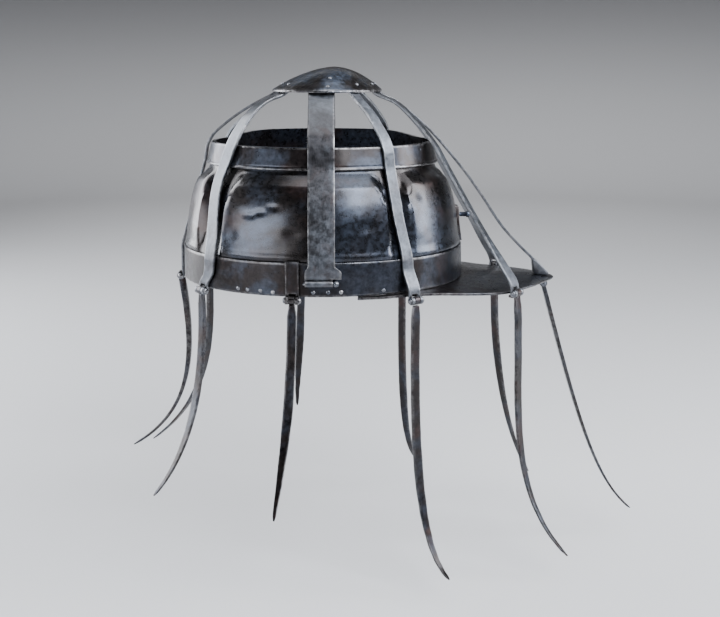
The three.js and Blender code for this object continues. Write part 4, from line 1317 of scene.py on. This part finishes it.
class HELMET_OT_front(bpy.types.Operator):
    """Makes the short strap over the middle of the brow and the stud that stands on it"""
    bl_idname = "helmet.front"
    bl_label = "Front strap and stud"

    def execute(self, context):
        inner = [(113.9, 27.5), (111, 34), (108.4, 44), (106.2, 52), (104.6, 57.5)]
        outer = [(107, 57.5), (112.8, 55.5), (113.6, 42), (115.8, 27.5)]
        strap = outline_block(millimetres(*inner, *outer), 12 * MM, 0.6 * MM)
        finish_piece("brow_strap", strap, FINISHES["band"], "front_strap")
        low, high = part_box("front_stud")
        root, height = low.x, (low.z + high.z) / 2
        outline = millimetres((0, 0), (1.9, 0), (1.9, 5.2), (2.35, 5.6), (2.6, 6.2),
                              (2.6, 7.5), (2.3, 8.2), (1.5, 8.65), (0, 8.8))
        stud = spun([(r, root + x) for r, x in outline], 28, (1, 0, 0), closed=False)
        rub(stud, lambda p: smooth(p.x, root + 5 * MM, root + 7 * MM))
        bmesh.ops.translate(stud, vec=(0, 0, height), verts=stud.verts[:])
        finish_piece("brow_stud", stud, FINISHES["bright"], "front_stud",
                     sharp=50)
        return {"FINISHED"}


def rivet_head(radius, height):
    """A low, hammered rivet head on the XY plane, facing +Z."""
    outline = [(0, height), (radius * 0.5, height * 0.9), (radius * 0.82, height * 0.55),
               (radius, 0), (radius * 0.9, -0.5 * MM), (0, -0.5 * MM)]
    bm = spun(outline, 14, closed=False)
    rub(bm, lambda p: 1.0 if p.z > height * 0.4 else 0.4)
    return bm


def on_face(place, out):
    """Sets a rivet head down at a place, facing outwards."""
    turn = out.normalized().to_track_quat("Z", "Y").to_matrix().to_4x4()
    return Matrix.Translation(place) @ turn


def band_rivet_places():
    """Rivets along the brow band: angle round the band and height."""
    near = [(-123.8, 3.6), (-119.5, 3.4), (-113.8, 3.4), (-108.7, 2.9), (-93.2, 3.6),
            (-87.6, 3.6), (-82.8, 3.6), (-66, 3.2)]
    return near + [(-angle, height) for angle, height in near]


class HELMET_OT_rivets(bpy.types.Operator):
    """Sets the rivets of the crown disc, the brow band and the rim band"""
    bl_idname = "helmet.rivets"
    bl_label = "Rivets"

    def execute(self, context):
        radius = context.scene.helmet_shape.rivet_radius
        crown = bmesh.new()
        spots = [(station.angle, 37.5 * MM) for station in NARROW_STATIONS]
        spots += [(side * math.pi / 2, r) for side in (-1, 1) for r in (29 * MM, 39.5 * MM)]
        for angle, r in spots:
            share = r / CROWN_RADIUS
            place = Vector((CROWN_X + crown_lean(share) + r * math.cos(angle),
                            r * math.sin(angle), crown_height(r) - 0.05 * MM))
            slope = CROWN_RISE * 1.8 * share ** 0.8 / CROWN_RADIUS
            up = Vector((math.cos(angle) * slope, math.sin(angle) * slope, 1))
            join(crown, rivet_head(radius, radius * 0.5), on_face(place, up))
        finish_piece("crown_rivets", crown, FINISHES["bar"], body="helmet",
                     sharp=60)
        band = bmesh.new()
        for degrees, height in band_rivet_places():
            turn = math.radians(degrees)
            half = ring_half_length(height * MM)
            place = Vector((half * math.cos(turn), half * ROUNDNESS * math.sin(turn),
                            height * MM))
            out = Vector((math.cos(turn) / half, math.sin(turn) / (half * ROUNDNESS), 0))
            join(band, rivet_head(radius * 1.05, radius * 0.35), on_face(place, out))
        rim_height, rim_turn = 108 * MM, math.radians(32)
        for side in (-1, 1):
            turn = side * rim_turn
            half = ring_half_length(rim_height) + 0.1 * MM
            lift = far_rim_lift(side * half * ROUNDNESS * math.sin(abs(turn)), rim_height)
            place = Vector((half * math.cos(turn), half * ROUNDNESS * math.sin(turn),
                            105.5 * MM + lift))
            out = Vector((math.cos(turn) / half, math.sin(turn) / (half * ROUNDNESS), 2.5))
            join(band, rivet_head(radius * 0.8, radius * 0.3), on_face(place, out))
        finish_piece("band_rivets", band, FINISHES["bright"], body="helmet",
                     sharp=60)
        return {"FINISHED"}


# ---------------------------------------------------------------- stage


# The floor: radius of its flat, the bend up into the surround, and how high the surround stands.
FLOOR_FLAT, FLOOR_BEND, SURROUND_HEIGHT = 2.4, 0.9, 1.9
# Heights above the floor between which the paper's colour fades into the backdrop's.
FADE_LOW, FADE_HIGH = 0.02, 0.75


def soft_box(name, place, aim, wide, high, power, tint=(1, 1, 1)):
    """A large soft light that faces a point."""
    data = bpy.data.lights.new(name, "AREA")
    data.shape = "RECTANGLE"
    data.size, data.size_y = wide, high
    data.energy = power
    data.color = tint
    light = bpy.data.objects.new(name, data)
    light.location = place
    light.rotation_euler = (Vector(aim) - Vector(place)).to_track_quat("-Z", "Y").to_euler()
    light.visible_camera = False
    bpy.context.scene.collection.objects.link(light)


class HELMET_OT_stage(bpy.types.Operator):
    """Lays the pale floor with its curved surround, and sets the lights and the camera"""
    bl_idname = "helmet.stage"
    bl_label = "Stage"

    def execute(self, context):
        stage = context.scene.helmet_stage
        floor = FRAME_LOW.z - stage.floor_gap
        flat, bend = FLOOR_FLAT, FLOOR_BEND
        curve = [(flat + bend * math.sin(t), floor + bend * (1 - math.cos(t)))
                 for t in spread(0, math.pi / 2, 16)]
        outline = [(0, floor), (flat / 2, floor), *curve, (flat + bend, floor + SURROUND_HEIGHT)]
        bm = spun(outline, 96, closed=False)
        mesh = bpy.data.meshes.new("studio_floor")
        bm.to_mesh(mesh)
        bm.free()
        mesh.flip_normals()
        mesh.shade_smooth()
        ground = bpy.data.objects.new("studio_floor", mesh)
        bpy.context.scene.collection.objects.link(ground)
        paper = bpy.data.materials.new("studio_paper")
        paper.use_nodes = True
        shader = next(n for n in paper.node_tree.nodes if n.type == "BSDF_PRINCIPLED")
        build = Tree(paper.node_tree)
        place = build.add("ShaderNodeTexCoord").outputs["Object"]
        height = build.add("ShaderNodeSeparateXYZ", {0: place}).outputs["Z"]
        share = build.ramp(height, floor + FADE_LOW, floor + FADE_HIGH)
        paper.node_tree.links.new(build.blend(share, (*stage.paper, 1), (*stage.backdrop, 1)),
                                  shader.inputs["Base Color"])
        shader.inputs["Roughness"].default_value = 0.9
        shader.inputs["Specular IOR Level"].default_value = 0.1
        mesh.materials.append(paper)

        middle = Vector((0.03, 0, 0.03))
        cool = (0.93, 0.96, 1.0)
        for name, place, wide, high, power in (
                ("right_box", (1.4, -0.15, 0.6), 0.5, 1.4, stage.right_power),
                ("high_box", (0.75, -1.0, 0.9), 1.05, 0.8, stage.high_power),
                ("left_box", (-1.25, 0.5, 0.5), 1.1, 1.4, stage.left_power),
                ("low_box", (-1.05, -0.95, 0.14), 1.1, 0.45, stage.low_power),
                ("top_box", (0.3, -0.15, 1.5), 1.3, 1.5, stage.top_power)):
            soft_box(name, place, middle, wide, high, power, cool)
        soft_box("back_box", (0.2, 1.9, 1.5), (0.1, 2.6, 0.2), 2.2, 0.8, stage.back_power)
        world = bpy.data.worlds.new("studio_air")
        world.use_nodes = True
        air = next(n for n in world.node_tree.nodes if n.type == "BACKGROUND")
        air.inputs["Color"].default_value = (0.9, 0.93, 1.0, 1)
        air.inputs["Strength"].default_value = stage.air
        context.scene.world = world

        data = bpy.data.cameras.new("studio_camera")
        data.sensor_width, data.lens = 36.0, stage.lens
        data.clip_start, data.clip_end = 0.01, 50.0
        camera = bpy.data.objects.new("studio_camera", data)
        camera.location = stage.camera_place
        camera.rotation_euler = stage.camera_turn
        bpy.context.scene.collection.objects.link(camera)
        context.scene.camera = camera
        return {"FINISHED"}


# ---------------------------------------------------------------- settings


class HelmetShape(bpy.types.PropertyGroup):
    """Sizes that a maker would change."""
    ring_steps: IntProperty(
        name="Ring steps", description="Corners round the skull and its bands",
        default=240, min=60, max=360)
    skull_waviness: FloatProperty(
        name="Skull waviness", description="How far the beaten panels wander in and out",
        default=0.5 * MM, unit="LENGTH", subtype="DISTANCE")
    dent_depth: FloatProperty(
        name="Dents", description="Depth of the dents in the panels, as a share",
        default=1.0, subtype="FACTOR", min=0.0, max=2.0)
    hammer_depth: FloatProperty(
        name="Hammer marks", description="Depth of the hammer marks on the crown and the peak",
        default=0.3 * MM, unit="LENGTH", subtype="DISTANCE")
    bar_edge: FloatProperty(
        name="Bar edge", description="Rounding along the edges of the bars",
        default=0.45 * MM, unit="LENGTH", subtype="DISTANCE")
    leg_edge: FloatProperty(
        name="Leg edge", description="Rounding along the edges of the legs",
        default=0.5 * MM, unit="LENGTH", subtype="DISTANCE")
    rivet_radius: FloatProperty(
        name="Rivet radius", description="Radius of the crown disc's rivet heads; others follow",
        default=1.5 * MM, unit="LENGTH", subtype="DISTANCE")


class HelmetTones(bpy.types.PropertyGroup):
    """Colours of the old iron."""
    black: FloatVectorProperty(
        name="Black", description="Oiled black of the iron", size=3, subtype="COLOR",
        default=(0.014, 0.011, 0.011), min=0, max=1)
    blue: FloatVectorProperty(
        name="Blue", description="Blue-grey where the iron was polished", size=3,
        subtype="COLOR", default=(0.044, 0.058, 0.086), min=0, max=1)
    brown: FloatVectorProperty(
        name="Brown", description="Brown where the oil has aged", size=3, subtype="COLOR",
        default=(0.034, 0.018, 0.015), min=0, max=1)
    steel: FloatVectorProperty(
        name="Steel", description="Grey of the filed bars", size=3, subtype="COLOR",
        default=(0.108, 0.119, 0.140), min=0, max=1)
    worn: FloatVectorProperty(
        name="Worn", description="Bare metal where it is rubbed", size=3, subtype="COLOR",
        default=(0.30, 0.295, 0.30), min=0, max=1)


class HelmetStage(bpy.types.PropertyGroup):
    """Floor, lights and camera."""
    floor_gap: FloatProperty(
        name="Floor gap", description="Air between the lowest leg's tip and the floor",
        default=20 * MM, unit="LENGTH", subtype="DISTANCE")
    paper: FloatVectorProperty(
        name="Paper", description="Colour of the floor and its surround", size=3,
        subtype="COLOR", default=(0.46, 0.46, 0.47), min=0, max=1)
    backdrop: FloatVectorProperty(
        name="Backdrop", description="Colour of the surround above the floor", size=3,
        subtype="COLOR", default=(0.13, 0.13, 0.135), min=0, max=1)
    right_power: FloatProperty(
        name="Right light", description="Power of the soft box at the right", default=38.0,
        unit="POWER")
    high_power: FloatProperty(
        name="High light", description="Power of the soft box high at the front", default=46.0,
        unit="POWER")
    left_power: FloatProperty(
        name="Left light", description="Power of the soft box at the left", default=50.0,
        unit="POWER")
    low_power: FloatProperty(
        name="Low light", description="Power of the low soft box at the front left",
        default=13.0, unit="POWER")
    top_power: FloatProperty(
        name="Top light", description="Power of the soft box overhead", default=26.0,
        unit="POWER")
    back_power: FloatProperty(
        name="Back light", description="Power of the soft box behind", default=20.0,
        unit="POWER")
    air: FloatProperty(
        name="Air", description="Strength of the even light all round", default=0.08, min=0.0)
    lens: FloatProperty(
        name="Lens", description="Focal length of the camera, in millimetres", default=54.76,
        min=10.0)
    camera_place: FloatVectorProperty(
        name="Camera", description="Where the camera stands", size=3, subtype="TRANSLATION",
        unit="LENGTH", default=(0.0136, -0.9081, 0.1801))
    camera_turn: FloatVectorProperty(
        name="Camera turn", description="Which way the camera looks", size=3, subtype="EULER",
        unit="ROTATION", default=(math.radians(76.84), 0.0, math.radians(-1.085)))


class HELMET_OT_finishes(bpy.types.Operator):
    """Mixes the iron finishes that the pieces take"""
    bl_idname = "helmet.finishes"
    bl_label = "Iron finishes"

    def execute(self, context):
        FINISHES.clear()
        FINISHES.update(build_finishes(context.scene.helmet_tones))
        return {"FINISHED"}


PIECE_OPERATORS = (
    HELMET_OT_finishes, HELMET_OT_skull, HELMET_OT_bands, HELMET_OT_crown, HELMET_OT_peak,
    HELMET_OT_narrow_bars, HELMET_OT_side_bars, HELMET_OT_hinges, HELMET_OT_pins,
    HELMET_OT_legs, HELMET_OT_front, HELMET_OT_rivets, HELMET_OT_stage)


class HELMET_PT_maker(bpy.types.Panel):
    """Lists the helmet's pieces, sizes and tones in the sidebar"""
    bl_label = "Caged Helmet"
    bl_idname = "HELMET_PT_maker"
    bl_space_type = "VIEW_3D"
    bl_region_type = "UI"
    bl_category = "Helmet"

    def draw(self, context):
        scene = context.scene
        for group in (scene.helmet_shape, scene.helmet_tones, scene.helmet_stage):
            box = self.layout.box()
            for name in group.__annotations__:
                box.prop(group, name)
        for operator in PIECE_OPERATORS:
            self.layout.operator(operator.bl_idname)


CLASSES = (HelmetShape, HelmetTones, HelmetStage, *PIECE_OPERATORS, HELMET_PT_maker)


def register():
    for cls in CLASSES:
        bpy.utils.register_class(cls)
    bpy.types.Scene.helmet_shape = PointerProperty(type=HelmetShape)
    bpy.types.Scene.helmet_tones = PointerProperty(type=HelmetTones)
    bpy.types.Scene.helmet_stage = PointerProperty(type=HelmetStage)


def unregister():
    del bpy.types.Scene.helmet_stage
    del bpy.types.Scene.helmet_tones
    del bpy.types.Scene.helmet_shape
    for cls in reversed(CLASSES):
        bpy.utils.unregister_class(cls)


def main():
    register()
    for operator in PIECE_OPERATORS:
        space, action = operator.bl_idname.split(".")
        getattr(getattr(bpy.ops, space), action)()


if __name__ == "__main__":
    main()
